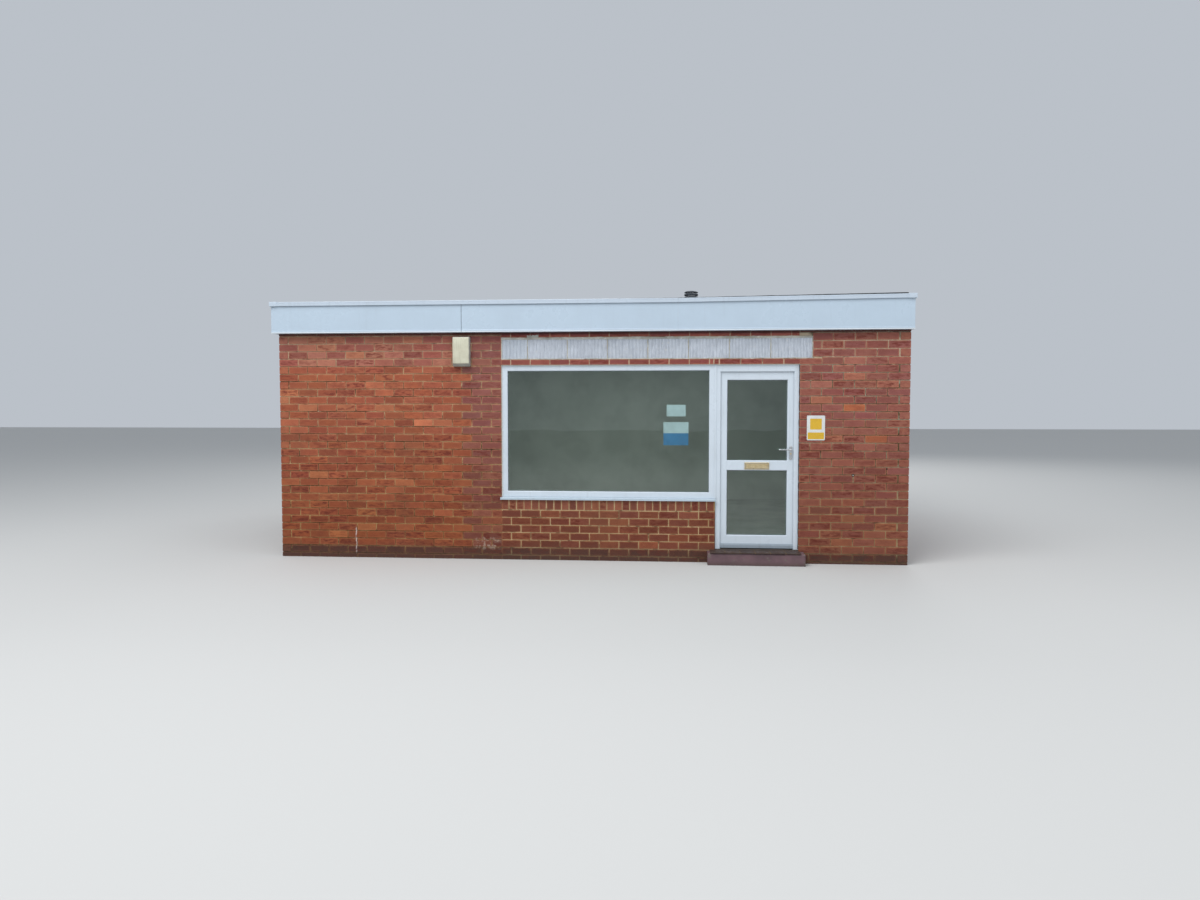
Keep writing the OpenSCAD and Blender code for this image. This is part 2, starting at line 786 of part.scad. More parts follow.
// The side trims end under the corner covers
module trim_sides_and_rear() {
    y = [trim_y[0] + trim_flange_l + seam, trim_y[1] - trim_flange_l - seam];
    mirror([0, 1, 0]) trim_front();
    color(upvc) {
        translate([trim_x[0], 0, trim_z]) along_y(y) trim_section();
        translate([trim_x[1], 0, trim_z + roof_rise]) mirror([1, 0, 0]) along_y(y) trim_section();
    }
}

// A moulded cover over the corner of the trim, open below and on its two inner sides
module corner_cover() {
    out = corner_wall + seat;
    difference() {
        translate([-out, -out, -2]) cube([corner_l + out, corner_l + out, trim_h + out + 3]);
        translate([-seat, -seat, -3]) cube([corner_l + out, corner_l + out, trim_h + seat + 4]);
    }
}

module trim_corners() {
    color(upvc) for (my = [0, 1]) mirror([0, my, 0]) {
        translate([trim_x[0], trim_y[0], trim_z]) corner_cover();
        translate([trim_x[1], trim_y[0], trim_z + roof_rise]) mirror([1, 0, 0]) corner_cover();
    }
}

module ceiling() {
    color("#e8e8e4") span(inner_x, inner_y, [wall_top - ceiling_t, wall_top]);
}

joist_n = ceil((shop_w - joist_t) / joist_pitch);
function joist_x(i) = i < joist_n ? left_x + i * joist_pitch : right_x - joist_t;

module roof_joists() {
    color(timber) for (i = [0 : joist_n])
        span([joist_x(i), joist_x(i) + joist_t], [fascia_front_y[1], rear_y + overhang - board_t],
            [wall_top, joist_top + rise(joist_x(i))]);
}

// Outline of a flat sheet on the roof, from z0 to z1 over the deck's level
module sheet_outline(x, z0, z1) {
    polygon([[x[0], deck_z + rise(x[0]) + z0], [x[1], deck_z + rise(x[1]) + z0],
        [x[1], deck_z + rise(x[1]) + z1], [x[0], deck_z + rise(x[0]) + z1]]);
}

// Sheets to the left and right of the bend in the roof
module roof_sheets(x, y, z0, z1) {
    along_y(y) {
        sheet_outline([x[0], bend_x - seam / 2], z0, z1);
        sheet_outline([bend_x + seam / 2, x[1]], z0, z1);
    }
}

module roof_deck() {
    color(timber) roof_sheets([fascia_x[0] + board_t, right_x],
        [fascia_front_y[1], rear_y + overhang - board_t], -deck_t, 0);
}

// The felt's turned-up edge behind the front trim, which shows over the trim at the right
module felt_edge(x) {
    z0 = seat + flange_t + seat;
    k = felt_lip / (shop_w - upstand_start);
    top = bead_h + seat;
    polygon([[x[0], deck_z + rise(x[0]) + z0], [x[1], deck_z + rise(x[1]) + z0],
        [x[1], deck_z + rise(x[1]) + top + k * (x[1] - left_x - upstand_start)],
        [x[0], deck_z + rise(x[0]) + top + k * (x[0] - left_x - upstand_start)]]);
}

module roof_felt() {
    edge = trim_flange_l + 1;
    color(felt) {
        roof_sheets([trim_x[0] + edge, trim_x[1] - edge], [trim_y[0] + edge, trim_y[1] - edge], seat,
            seat + felt_t);
        along_y([trim_y[0] + trim_wall + 2 * bead_bevel + seam, trim_y[0] + trim_flange_l]) {
            felt_edge([left_x + upstand_start, bend_x - seam / 2]);
            felt_edge([bend_x + seam / 2, trim_x[1] - corner_l - seam]);
        }
    }
}

// One slat of the vent, its top sloping up to the pipe
function slat_points(z) = [[vent_pipe_r, z], [vent_cap_r, z], [vent_cap_r, z + slat_h],
    [vent_pipe_r, z + slat_h + vent_slope]];

module roof_vent() {
    z = deck_z + seat + felt_t + rise(left_x + vent_x + vent_cap_r);
    cap_z = vent_h - slat_h - vent_slope;
    color("#8a8f94") translate([left_x + vent_x, front_y + vent_y, z]) rotate_extrude() polygon(concat(
        [[0, 0], [vent_cap_r, 0], [vent_cap_r, vent_slope], [vent_pipe_r, 2 * vent_slope]],
        [for (i = [slat_count : -1 : 1]) each slat_points(cap_z - i * slat_pitch)],
        [[vent_pipe_r, cap_z], [vent_cap_r, cap_z], [vent_cap_r * 0.8, vent_h - vent_slope], [0, vent_h]]));
}

module alarm_box() {
    color("#e1e1cd") translate([left_x + alarm_x, 0, alarm_z]) along_x([0, alarm_w]) polygon([
        [front_y, 0], [front_y, alarm_h], [front_y - alarm_d + alarm_brow, alarm_h],
        [front_y - alarm_d, alarm_h - alarm_brow], [front_y - alarm_d, alarm_foot],
        [front_y - alarm_foot, 0]]);
}

module wall_sign() {
    color("#ebbe28") span([open_x[1] + sign_x, open_x[1] + sign_x + sign_w], [front_y - sign_t, front_y],
        [sign_z, sign_z + sign_h]);
}

floor_slab();
front_wall_left();
front_wall_under_window();
brick_sill();
front_wall_right();
lintel_course();
block_band();
inner_lintel();
front_wall_top();
door_base();
left_wall();
right_wall();
rear_wall();
window_frame();
window_glass();
window_beads();
window_cill();
coupling_strip();
door_frame();
door_threshold();
door_leaf();
door_glass();
door_beads();
letter_plate();
letter_flap();
handle_plates();
lever_handles();
lock_cylinder();
hinge_fixed_halves();
hinge_door_halves();
door_step();
step_tile();
soffits();
fascia_front();
fascia_sides();
fascia_rear();
trim_front();
trim_sides_and_rear();
trim_corners();
ceiling();
roof_joists();
roof_deck();
roof_felt();
roof_vent();
alarm_box();
wall_sign();
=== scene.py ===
import math
import random

import bpy
from mathutils import Euler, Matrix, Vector


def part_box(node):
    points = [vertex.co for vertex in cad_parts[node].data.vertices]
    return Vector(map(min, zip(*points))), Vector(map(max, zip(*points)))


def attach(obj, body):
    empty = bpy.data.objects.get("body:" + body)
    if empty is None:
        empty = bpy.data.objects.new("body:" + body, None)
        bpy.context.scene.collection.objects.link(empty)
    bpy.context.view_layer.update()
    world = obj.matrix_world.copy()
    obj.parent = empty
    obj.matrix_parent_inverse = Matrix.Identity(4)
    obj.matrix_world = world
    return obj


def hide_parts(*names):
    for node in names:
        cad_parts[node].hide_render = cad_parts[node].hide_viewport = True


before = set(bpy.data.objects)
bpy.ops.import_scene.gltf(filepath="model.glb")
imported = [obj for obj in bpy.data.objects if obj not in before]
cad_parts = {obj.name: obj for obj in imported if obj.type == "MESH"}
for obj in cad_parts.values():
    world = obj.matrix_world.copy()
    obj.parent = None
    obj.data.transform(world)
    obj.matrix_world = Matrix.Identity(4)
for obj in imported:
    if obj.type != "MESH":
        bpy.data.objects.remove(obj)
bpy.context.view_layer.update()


# A colour as it looks, 0 to 255, turned into the linear values that shaders take.
def linear(r, g, b):
    return tuple(v / 3294.6 if v <= 10.3 else ((v / 255 + 0.055) / 1.055) ** 2.4 for v in (r, g, b)) + (1.0,)


def darker(tone, share):
    return tuple(v * share for v in tone)


# A material's node tree, with short calls for its nodes. colour and normal hold what is made so far.
class Nodes:
    def __init__(self, name, roughness=0.6, metallic=0.0, specular=0.5):
        self.material = bpy.data.materials.new(name)
        self.material.use_nodes = True
        self.tree = self.material.node_tree
        self.shader = self.tree.nodes["Principled BSDF"]
        self.shader.inputs["Roughness"].default_value = roughness
        self.shader.inputs["Metallic"].default_value = metallic
        self.shader.inputs["Specular IOR Level"].default_value = specular
        self.place = self.node("ShaderNodeTexCoord").outputs["Object"]
        self.colour = self.normal = None

    def node(self, kind, **settings):
        made = self.tree.nodes.new(kind)
        for key, value in settings.items():
            setattr(made, key, value)
        return made

    def link(self, value, socket):
        if hasattr(value, "is_output"):
            self.tree.links.new(value, socket)
        else:
            socket.default_value = value

    # Coordinates times x, y and z, to stretch a pattern.
    def spread(self, x, y, z, source=None):
        made = self.node("ShaderNodeVectorMath", operation="MULTIPLY")
        self.link(source or self.place, made.inputs[0])
        made.inputs[1].default_value = (x, y, z)
        return made.outputs[0]

    # Coordinates moved by an amount of their own on each brick or tile.
    def shifted(self, amount, by):
        made = self.node("ShaderNodeVectorMath", operation="ADD")
        self.link(self.place, made.inputs[0])
        self.link(self.math("MULTIPLY", amount, by), made.inputs[1])
        return made.outputs[0]

    def noise(self, scale, detail=3.0, rough=0.55, source=None, distortion=0.0):
        made = self.node("ShaderNodeTexNoise")
        self.link(source or self.place, made.inputs["Vector"])
        for name, value in zip(("Scale", "Detail", "Roughness", "Distortion"),
                               (scale, detail, rough, distortion)):
            made.inputs[name].default_value = value
        return made.outputs["Fac"]

    def cells(self, scale, source=None):
        made = self.node("ShaderNodeTexVoronoi")
        self.link(source or self.place, made.inputs["Vector"])
        made.inputs["Scale"].default_value = scale
        return made.outputs["Distance"]

    def attribute(self, name, output="Fac"):
        return self.node("ShaderNodeAttribute", attribute_name=name).outputs[output]

    def axis(self, name, source=None):
        made = self.node("ShaderNodeSeparateXYZ")
        self.link(source or self.place, made.inputs[0])
        return made.outputs[name]

    # value mapped so that low gives to[0] and high gives to[1], and no further.
    def limits(self, value, low, high, to=(0.0, 1.0)):
        made = self.node("ShaderNodeMapRange", clamp=True)
        self.link(value, made.inputs["Value"])
        for socket, number in zip(("From Min", "From Max", "To Min", "To Max"), (low, high) + tuple(to)):
            made.inputs[socket].default_value = number
        return made.outputs["Result"]

    def math(self, operation, a, b=0.0):
        made = self.node("ShaderNodeMath", operation=operation)
        self.link(a, made.inputs[0])
        self.link(b, made.inputs[1])
        return made.outputs[0]

    # One operation over several values, from the left.
    def chain(self, operation, *values):
        made = values[0]
        for value in values[1:]:
            made = self.math(operation, made, value)
        return made

    def times(self, *values):
        return self.chain("MULTIPLY", *values)

    def plus(self, *values):
        return self.chain("ADD", *values)

    # Noise that swings about nothing by half of size to each side.
    def swing(self, size, *noise):
        return self.times(self.math("SUBTRACT", self.noise(*noise), 0.5), size)

    def mix(self, amount, a, b, kind="MIX"):
        made = self.node("ShaderNodeMix", data_type="RGBA", blend_type=kind)
        for index, value in ((0, amount), (6, a), (7, b)):
            self.link(value, made.inputs[index])
        return made.outputs[2]

    # The first colour: tone, which goes over to other as value goes from low to high.
    def ground(self, value, low, high, tone, other, most=1.0):
        self.colour = self.mix(self.limits(value, low, high, (0.0, most)), linear(*tone), linear(*other))

    # A tone over the colour, as strong as value says.
    def cover(self, value, tone):
        self.colour = self.mix(value, self.colour, linear(*tone))

    # A tone over the colour, from none where value is low to most of it where value is high.
    def stain(self, value, low, high, most, tone):
        self.cover(self.limits(value, low, high, (0.0, most)), tone)

    # Height added to the relief.
    def relief(self, height, distance, strength):
        made = self.node("ShaderNodeBump")
        self.link(height, made.inputs["Height"])
        made.inputs["Distance"].default_value = distance
        made.inputs["Strength"].default_value = strength
        if self.normal is not None:
            self.link(self.normal, made.inputs["Normal"])
        self.normal = made.outputs["Normal"]

    def finish(self, roughness=None):
        self.link(self.colour, self.shader.inputs["Base Color"])
        if roughness is not None:
            self.link(roughness, self.shader.inputs["Roughness"])
        if self.normal is not None:
            self.link(self.normal, self.shader.inputs["Normal"])
        return self.material


# Points and faces of a piece as they are gathered, with numbers that its materials read.
class Shape:
    def __init__(self, **defaults):
        self.points = []
        self.faces = []
        self.slots = []
        self.defaults = defaults
        self.extras = {name: [] for name in defaults}

    def add(self, points, faces, slot=0, **numbers):
        base = len(self.points)
        self.points.extend(points)
        self.faces.extend([base + i for i in face] for face in faces)
        self.slots.extend(slot for _ in faces)
        for name, values in self.extras.items():
            given = numbers.get(name, self.defaults[name])
            values.extend(given if isinstance(given, list) else [given] * len(points))

    def box(self, x, y, z, slot=0, **numbers):
        self.add(boxPoints(x, y, z), boxFaces(), slot, **numbers)

    def piece(self, name, body, *materials, smooth=False):
        mesh = bpy.data.meshes.new(name)
        mesh.from_pydata([tuple(p) for p in self.points], [], self.faces)
        for material in materials:
            mesh.materials.append(material)
        mesh.polygons.foreach_set("material_index", self.slots)
        for key, values in self.extras.items():
            colour = isinstance(self.defaults[key], tuple)
            made = mesh.attributes.new(key, "FLOAT_COLOR" if colour else "FLOAT", "POINT")
            flat = [v for value in values for v in value] if colour else values
            made.data.foreach_set("color" if colour else "value", flat)
        mesh.update()
        if smooth:
            mesh.shade_smooth()
            mesh.set_sharp_from_angle(angle=math.radians(30))
        made = bpy.data.objects.new(name, mesh)
        bpy.context.scene.collection.objects.link(made)
        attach(made, body)
        return made


def boxFaces():
    return [[0, 3, 2, 1], [4, 5, 6, 7], [0, 1, 5, 4], [1, 2, 6, 5], [2, 3, 7, 6], [3, 0, 4, 7]]


def boxPoints(x, y, z):
    return [(x[i], y[j], z[k]) for k in (0, 1) for i, j in ((0, 0), (1, 0), (1, 1), (0, 1))]


# Faces over rows of points, each row with columns + 1 points.
def gridFaces(rows, columns):
    step = columns + 1
    return [[m * step + n, m * step + n + 1, (m + 1) * step + n + 1, (m + 1) * step + n]
            for m in range(rows) for n in range(columns)]


# Measures of the building in metres, as in the source.
shell = {"left": -3.545, "right": 3.545, "front": -2.8, "rear": 2.8, "wall": 0.22, "top": 2.696}
opening = {"left": -0.955, "right": 2.365, "frameTop": 2.205, "blockBase": 2.275, "blockTop": 2.49,
           "apronTop": 0.5635, "sillTop": 0.6845, "windowRight": 1.445, "blocksRight": 2.49,
           "lintelTop": 2.355}
course = {"first": 0.135, "height": 0.0857, "joint": 0.0085, "perpend": 0.0068, "headGrowth": 0.003,
          "footGrowth": 0.0019, "numbers": range(-1, 30), "heads": 25, "sliver": 0.014, "frontSliver": 0.02}


# Brickwork. Every brick is a bevelled solid of its own with worn edges, and the mortar lies behind its face.
# A wall face is an origin, the direction along the wall and the direction out of it.
wallFaces = {
    side: (Vector((shell[x], shell[y], 0)), Vector(along), Vector(outward))
    for side, x, y, along, outward in (
        ("front", "left", "front", (1, 0, 0), (0, -1, 0)), ("left", "left", "front", (0, 1, 0), (-1, 0, 0)),
        ("rear", "left", "rear", (1, 0, 0), (0, 1, 0)), ("right", "right", "front", (0, 1, 0), (1, 0, 0)))}

# Brick colours by part of the wall: listed tones, an odd one, and how often the odd one turns up.
brickKinds = {
    "panel": (((168, 94, 66), (160, 88, 60), (154, 84, 58), (170, 98, 70), (149, 80, 58), (163, 92, 62),
               (157, 86, 62), (153, 83, 57)), (184, 112, 78), 0.04),
    "head": (((156, 92, 80), (162, 100, 84), (166, 106, 86), (146, 85, 75), (171, 111, 91)),
             (182, 118, 90), 0.06),
    "pier": (((136, 84, 76), (128, 77, 72), (144, 89, 79), (132, 80, 75), (150, 95, 82)), (162, 96, 78),
             0.05),
    "apron": (((134, 78, 62), (126, 72, 60), (142, 84, 66), (120, 68, 58), (136, 80, 68)),
              (154, 92, 72), 0.05),
    "edge": (((142, 90, 76), (134, 82, 70), (150, 96, 80), (128, 78, 68), (156, 100, 82)),
             (168, 104, 82), 0.1),
    "shop": (((146, 90, 79), (140, 84, 76), (153, 96, 82), (134, 80, 73), (149, 91, 78), (142, 86, 80)),
             (164, 104, 82), 0.05),
    "lintel": (((140, 78, 70), (132, 72, 66), (148, 84, 74), (136, 75, 70)), (156, 92, 78), 0.05),
    "base": (((88, 54, 49), (81, 48, 45), (95, 58, 51), (85, 50, 47)), (106, 63, 52), 0.05),
    "side": (((150, 82, 66), (142, 76, 62), (158, 90, 70), (136, 72, 60), (160, 94, 72), (146, 80, 68)),
             (172, 102, 74), 0.04),
}


def brickTone(kind, dice):
    tones, odd, oddShare = brickKinds[kind]
    tone = odd if dice.random() < oddShare else dice.choice(tones)
    lift = dice.gauss(1.0, 0.035)
    return linear(*(min(255, v * lift * dice.gauss(1.0, 0.012)) for v in tone))


# One brick along a wall face, from u[0] to u[1] and z[0] to z[1]. rims adds the inner lines that let the
# material tell a brick's worn rim from its middle, and closed makes it a whole solid for a corner.
def layBrick(shape, side, u, z, tone, dice, rims=False, closed=False, depth=0.014):
    origin, along, outward = wallFaces[side]
    edge = dice.uniform(0.0016, 0.0026)
    sunk = dice.uniform(0.0, 0.0011)
    lean = dice.gauss(0.0, 0.0009)
    rim = min(0.016, (z[1] - z[0]) * 0.2)
    length = u[1] - u[0]
    middle = [u[0] + length * 0.35, u[0] + length * 0.68]
    if rims:
        middle = [u[0] + rim, u[0] + length * 0.36, u[0] + length * 0.66, u[1] - rim]
    stations = [u[0], u[0] + edge, *middle, u[1] - edge, u[1]]
    last = len(stations) - 1
    size = 8 if rims else 6
    # A few bricks have a corner of the face knocked off, at one end and at the foot or the head.
    chips = {(dice.choice((1, last - 1)), dice.choice((True, False))) for _ in range(dice.random() < 0.16)}
    points, rimValues = [], []
    for n, s in enumerate(stations):
        cap = n in (0, last)
        c = edge * (1.5 if cap else 1.0)
        low = z[0] + lean * (s - u[0]) / max(length, 0.05) + (edge * 0.7 if cap else 0.0)
        high = z[1] + lean * (s - u[0]) / max(length, 0.05) - (edge * 0.7 if cap else 0.0)
        back = edge * 1.3 if cap else 0.0
        row = [(low, -depth), (low + dice.gauss(0, 0.0005), -c - back),
               (low + c + dice.gauss(0, 0.0006), -back)]
        if rims:
            row += [(low + rim + dice.gauss(0, 0.002), -back), (high - rim + dice.gauss(0, 0.002), -back)]
        row += [(high - c + dice.gauss(0, 0.0006), -back), (high + dice.gauss(0, 0.0005), -c - back),
                (high, -depth)]
        for m, (v, w) in enumerate(row):
            foot = m in (1, 2)
            if (n, foot) in chips and (foot or m in (size - 3, size - 2)):
                v += 0.005 if foot else -0.005
                w -= 0.0035
            points.append(origin + along * s + outward * (w - sunk) + Vector((0, 0, max(v, 0.0))))
            inner = rims and 2 <= n <= 5 and m in (3, 4)
            rimValues.append(0.0 if inner else 1.0 if rims else 0.4)
    faces = [[n * size + m, (n + 1) * size + m, (n + 1) * size + (m + 1) % size, n * size + (m + 1) % size]
             for n in range(last) for m in range(size if closed else size - 1)]
    faces += [list(range(size)), [last * size + m for m in reversed(range(size))]]
    if along.cross(Vector((0, 0, 1))).dot(outward) < 0:
        faces = [f[::-1] for f in faces]
    shape.add(points, faces, brickTone=tone, rim=rimValues, chance=dice.random())


# Courses are numbered from the ground. The right pier was laid with thicker joints at its foot and its head:
# wide is 1 there and 0 on the other walls.
def courseLevels(number, wide=0.0):
    low, high = (course["first"] + (n - 1) * course["height"]
                 + wide * (max(0, n - 26) * course["headGrowth"] - max(0, 15 - n) * course["footGrowth"])
                 for n in (number, number + 1))
    return max(0.0, low + course["joint"]), min(high, shell["top"])


# A row of bricks between two ends. first is the length of the first module, and joints vary a little.
def rowOfBricks(start, end, module, first, dice, joint=course["joint"]):
    made, at, size = [], start, first
    while at < end - 0.012:
        stop = min(at + size, end)
        if end - stop < 0.03:
            stop = end
        made.append((at, stop if stop >= end else stop - joint + dice.gauss(0, 0.0012)))
        at, size = stop, module
    return made


print("laying bricks")
noTone = {"brickTone": linear(150, 140, 125), "rim": 0.0, "chance": 0.0}
frontBricks = Shape(**noTone)
frontDice = random.Random(11)
# Measured along a wall from its corner: the walls, the parts of the front, and the bricks with their joints.
reach = {"front": 7.09, "side": 5.6, "left": 2.59, "apron": 4.99, "dark": 2.2, "blocks": 6.04,
         "cutCourse": 5.9, "lintel": 5.91, "lintelBreak": (4.965, 4.975)}
module = {"left": 2.59 / 11.5, "pier": 1.18 / 5, "bay": 0.2225, "bayHalf": 0.112, "door": 0.234}
depths = {"thin": 0.014, "whole": 0.1, "header": 0.1043}
# Bricks of another batch in the right pier, by course and by place from its outer corner.
oddBricks = {(19, 3): (178, 102, 68), (15, 2): (168, 96, 66), (22, 1): (164, 102, 84)}


def layFront(u, z, kind, closed=False, depth=depths["thin"], batch=None):
    tone = brickTone(kind, frontDice)
    layBrick(frontBricks, "front", u, z, linear(*batch) if batch else tone, frontDice, True, closed, depth)


def leftKind(middle, number):
    if number <= 0:
        return "base"
    if middle > reach["dark"]:
        return "pier"
    return "head" if number >= course["heads"] else "panel"


# Courses come in turns: one starts with a half brick at the corner, whose other face is on the side wall.
for number in course["numbers"]:
    half = number % 2 == 0
    z = courseLevels(number)
    first = module["left"] / (2 if half else 1)
    row = rowOfBricks(0.0, reach["left"], module["left"], first, frontDice, course["perpend"])
    for n, u in enumerate(row):
        whole = n in (0, len(row) - 1)
        if z[1] - z[0] >= course["frontSliver"] and not (n == 0 and half):
            layFront(u, z, leftKind(sum(u) / 2, number), whole, depths["header" if whole else "thin"])
    # Under the window, the later infill has a bond of its own.
    if number <= 5 and z[1] - z[0] >= course["frontSliver"]:
        first = module["bayHalf"] if half else module["bay"]
        for u in rowOfBricks(reach["left"], reach["apron"], module["bay"], first, frontDice):
            layFront(u, z, "base" if number <= 0 else "apron")
    # The pier's bricks are counted from its outer corner, and beside the blocks it starts where they end.
    z = courseLevels(number, 1.0)
    beside = z[1] > opening["blockBase"] + 0.012 and z[0] < opening["blockTop"]
    begin = (2.5 if beside else opening["right"]) - shell["left"]
    spare = reach["front"] - begin - (module["pier"] / 2 if half else 0.0)
    first = spare - math.floor(spare / module["pier"] + 0.001) * module["pier"]
    first = first if first > 0.03 else module["pier"]
    row = rowOfBricks(begin, reach["front"], module["pier"], first, frontDice, course["perpend"])
    for n, u in enumerate(row):
        if z[1] - z[0] < course["sliver"] or n == len(row) - 1 and half:
            continue
        if u[0] < reach["blocks"] and z[0] < opening["blockBase"] < z[1]:
            layFront(u, (z[0], opening["blockBase"] - 0.009), "shop", True, depths["whole"])
            continue
        whole = n in (0, len(row) - 1)
        batch = oddBricks.get((number, len(row) - (1 if half else 0) - n))
        layFront(u, z, "base" if number <= 0 else "shop", whole, depths["header" if whole else "thin"], batch)

# A cut course over the blocks, laid on a thick bed.
row = rowOfBricks(reach["left"], reach["cutCourse"], module["bay"], module["bayHalf"], frontDice,
                  course["perpend"])
for u in row:
    layFront(u, (opening["blockTop"] + 0.024, 2.582), "lintel")

# Bricks on edge under the cill, and the course of bricks over both frames.
edgeCount, edgeRun = 28, 2.4
for n in range(edgeCount):
    u = reach["left"] + n * edgeRun / edgeCount
    layFront((u, u + edgeRun / edgeCount - 0.01 + frontDice.gauss(0, 0.001)),
             (opening["apronTop"] + 0.01, opening["sillTop"] - 0.002), "edge", n in (0, edgeCount - 1), 0.05)
for u in (rowOfBricks(reach["left"], reach["lintelBreak"][0], module["bay"], module["bayHalf"], frontDice)
          + rowOfBricks(reach["lintelBreak"][1], reach["lintel"], module["door"], 0.06, frontDice)):
    layFront(u, (opening["frameTop"] + 0.002, opening["blockBase"] - 0.012), "lintel", True, depths["whole"])

sideBricks = {side: Shape(**noTone) for side in ("left", "right", "rear")}
for seed, (side, shape) in enumerate(sideBricks.items(), 21):
    dice = random.Random(seed)
    length = reach["front" if side == "rear" else "side"]
    size = length / (31 if side == "rear" else 24.5)
    for number in course["numbers"]:
        row = rowOfBricks(0.0, length, size, size if number % 2 == 0 else size / 2, dice)
        for n, u in enumerate(row):
            corner = n in (0, len(row) - 1)
            # The right wall's courses run level at the rear and meet the pier's at the front.
            z = courseLevels(number, 1.0 - sum(u) / 2 / length if side == "right" else 0.0)
            if z[1] - z[0] < course["sliver"] or corner and (u[1] - u[0]) < size * 0.7:
                continue
            kind = "base" if number <= 0 else "side"
            if n == 0 and number > 0 and side != "rear":
                kind = "shop" if side == "right" else "head" if number >= course["heads"] else "panel"
            # A corner brick's depth is the half brick that shows on the next wall.
            header = 0.1044 if side == "rear" or n else {"left": 0.1026, "right": 0.108}[side]
            layBrick(shape, side, u, z, brickTone(kind, dice), dice, False, corner,
                     header if corner else depths["thin"])


# The wall grows duller and browner towards the ground.
def dullBelow(n, low):
    up = n.plus(n.axis("Z"), n.swing(0.5, 1.4, 3.0))
    dull = n.mix(n.limits(up, 0.45, 1.95), (*low, 1.0), (1.0, 1.0, 1.0, 1.0))
    n.colour = n.mix(1.0, n.colour, dull, "MULTIPLY")


# 1 on the front's face and 0 behind it.
def onFront(n):
    return n.limits(n.axis("Y"), -2.76, -2.78)


# A round mark on the front, soft at its rim.
def frontSpot(n, x, z, radius):
    across, up = (n.math("POWER", n.math("SUBTRACT", n.axis(name), at), 2.0)
                  for name, at in (("X", x), ("Z", z)))
    return n.times(n.limits(n.math("SQRT", n.plus(across, up)), radius, radius * 0.7), onFront(n))


# Old marks on the front: a run of white down the lower wall, and mortar smeared beside the window's foot.
def limeMarks(n):
    x, z, front = n.axis("X"), n.axis("Z"), onFront(n)
    off = n.math("ABSOLUTE", n.plus(x, 2.66, n.swing(0.05, 1.0, 3.0, 0.6, n.spread(0, 0, 9))))
    run = n.times(n.limits(off, 0.0085, 0.0035), n.limits(z, 0.36, 0.33), n.limits(z, 0.04, 0.07),
                  n.limits(n.noise(30.0, 3.0), 0.34, 0.46), front, 0.75)
    n.cover(run, (206, 192, 186))
    smear = n.times(n.limits(x, -1.3, -1.24), n.limits(x, -0.96, -1.0), n.limits(z, 0.1, 0.14),
                    n.limits(z, 0.27, 0.22), n.limits(n.noise(17.0, 4.0, 0.7), 0.5, 0.6), front, 0.7)
    n.cover(smear, (176, 156, 140))
    # A plugged hole and a nick in the right pier: dark spots that are painted shade inside them, and the pale
    # plug in the hole.
    hole = (2.948, 0.985)
    n.cover(n.math("MAXIMUM", frontSpot(n, *hole, 0.019), frontSpot(n, 3.308, 1.057, 0.011)), (44, 34, 32))
    n.cover(frontSpot(n, *hole, 0.0065), (224, 220, 212))


# Brick: its own tone, sand-creased and speckled, with a darker smudge inside a paler, worn rim.
def brickMaterial():
    n = Nodes("facingBrick", roughness=0.88, specular=0.3)
    chance, rim, up = n.attribute("chance"), n.attribute("rim"), n.axis("Z")
    place = n.shifted(chance, 7.0)
    n.colour = n.attribute("brickTone", "Color")
    n.stain(n.noise(9.0, 4.0, 0.6, place), 0.35, 0.75, 0.38, (112, 52, 46))
    smudge = n.noise(1.0, 3.0, 0.6, n.spread(14, 14, 42, place), 0.4)
    often = n.limits(n.math("FRACT", n.times(chance, 13.7)), 0.25, 0.9, (0.1, 0.85))
    n.cover(n.times(n.limits(smudge, 0.44, 0.6), n.math("SUBTRACT", 1.0, rim), often), (108, 44, 36))
    wear = n.limits(n.noise(26.0, 3.0, 0.6, place), 0.36, 0.56, (0.0, 0.42))
    n.cover(n.times(rim, wear), (190, 130, 98))
    specks = n.noise(420.0, 2.0, 0.5, place)
    n.stain(specks, 0.62, 0.7, 0.5, (72, 42, 40))
    n.stain(specks, 0.36, 0.3, 0.35, (222, 170, 130))
    dullBelow(n, (0.74, 0.68, 0.54))
    limeMarks(n)
    # Painted shade under the soffit, then damp and splashed soil at the foot of the wall.
    n.stain(up, 2.536, 2.552, 0.72, (34, 24, 26))
    n.stain(n.plus(up, n.times(n.noise(5.0), 0.14)), 0.26, 0.08, 0.55, (74, 60, 52))
    n.stain(n.noise(1.1, 5.0, 0.65), 0.56, 0.74, 0.35, (98, 66, 50))
    grain = n.noise(160.0, 4.0, 0.65, place)
    n.relief(n.noise(1.0, 2.0, 0.5, n.spread(30, 30, 260, place)), 0.0011, 0.5)
    n.relief(grain, 0.0012, 0.7)
    n.relief(n.limits(n.cells(95.0, place), 0.0, 0.2), 0.001, 0.35)
    return n.finish(n.limits(grain, 0.3, 0.7, (0.78, 0.97)))


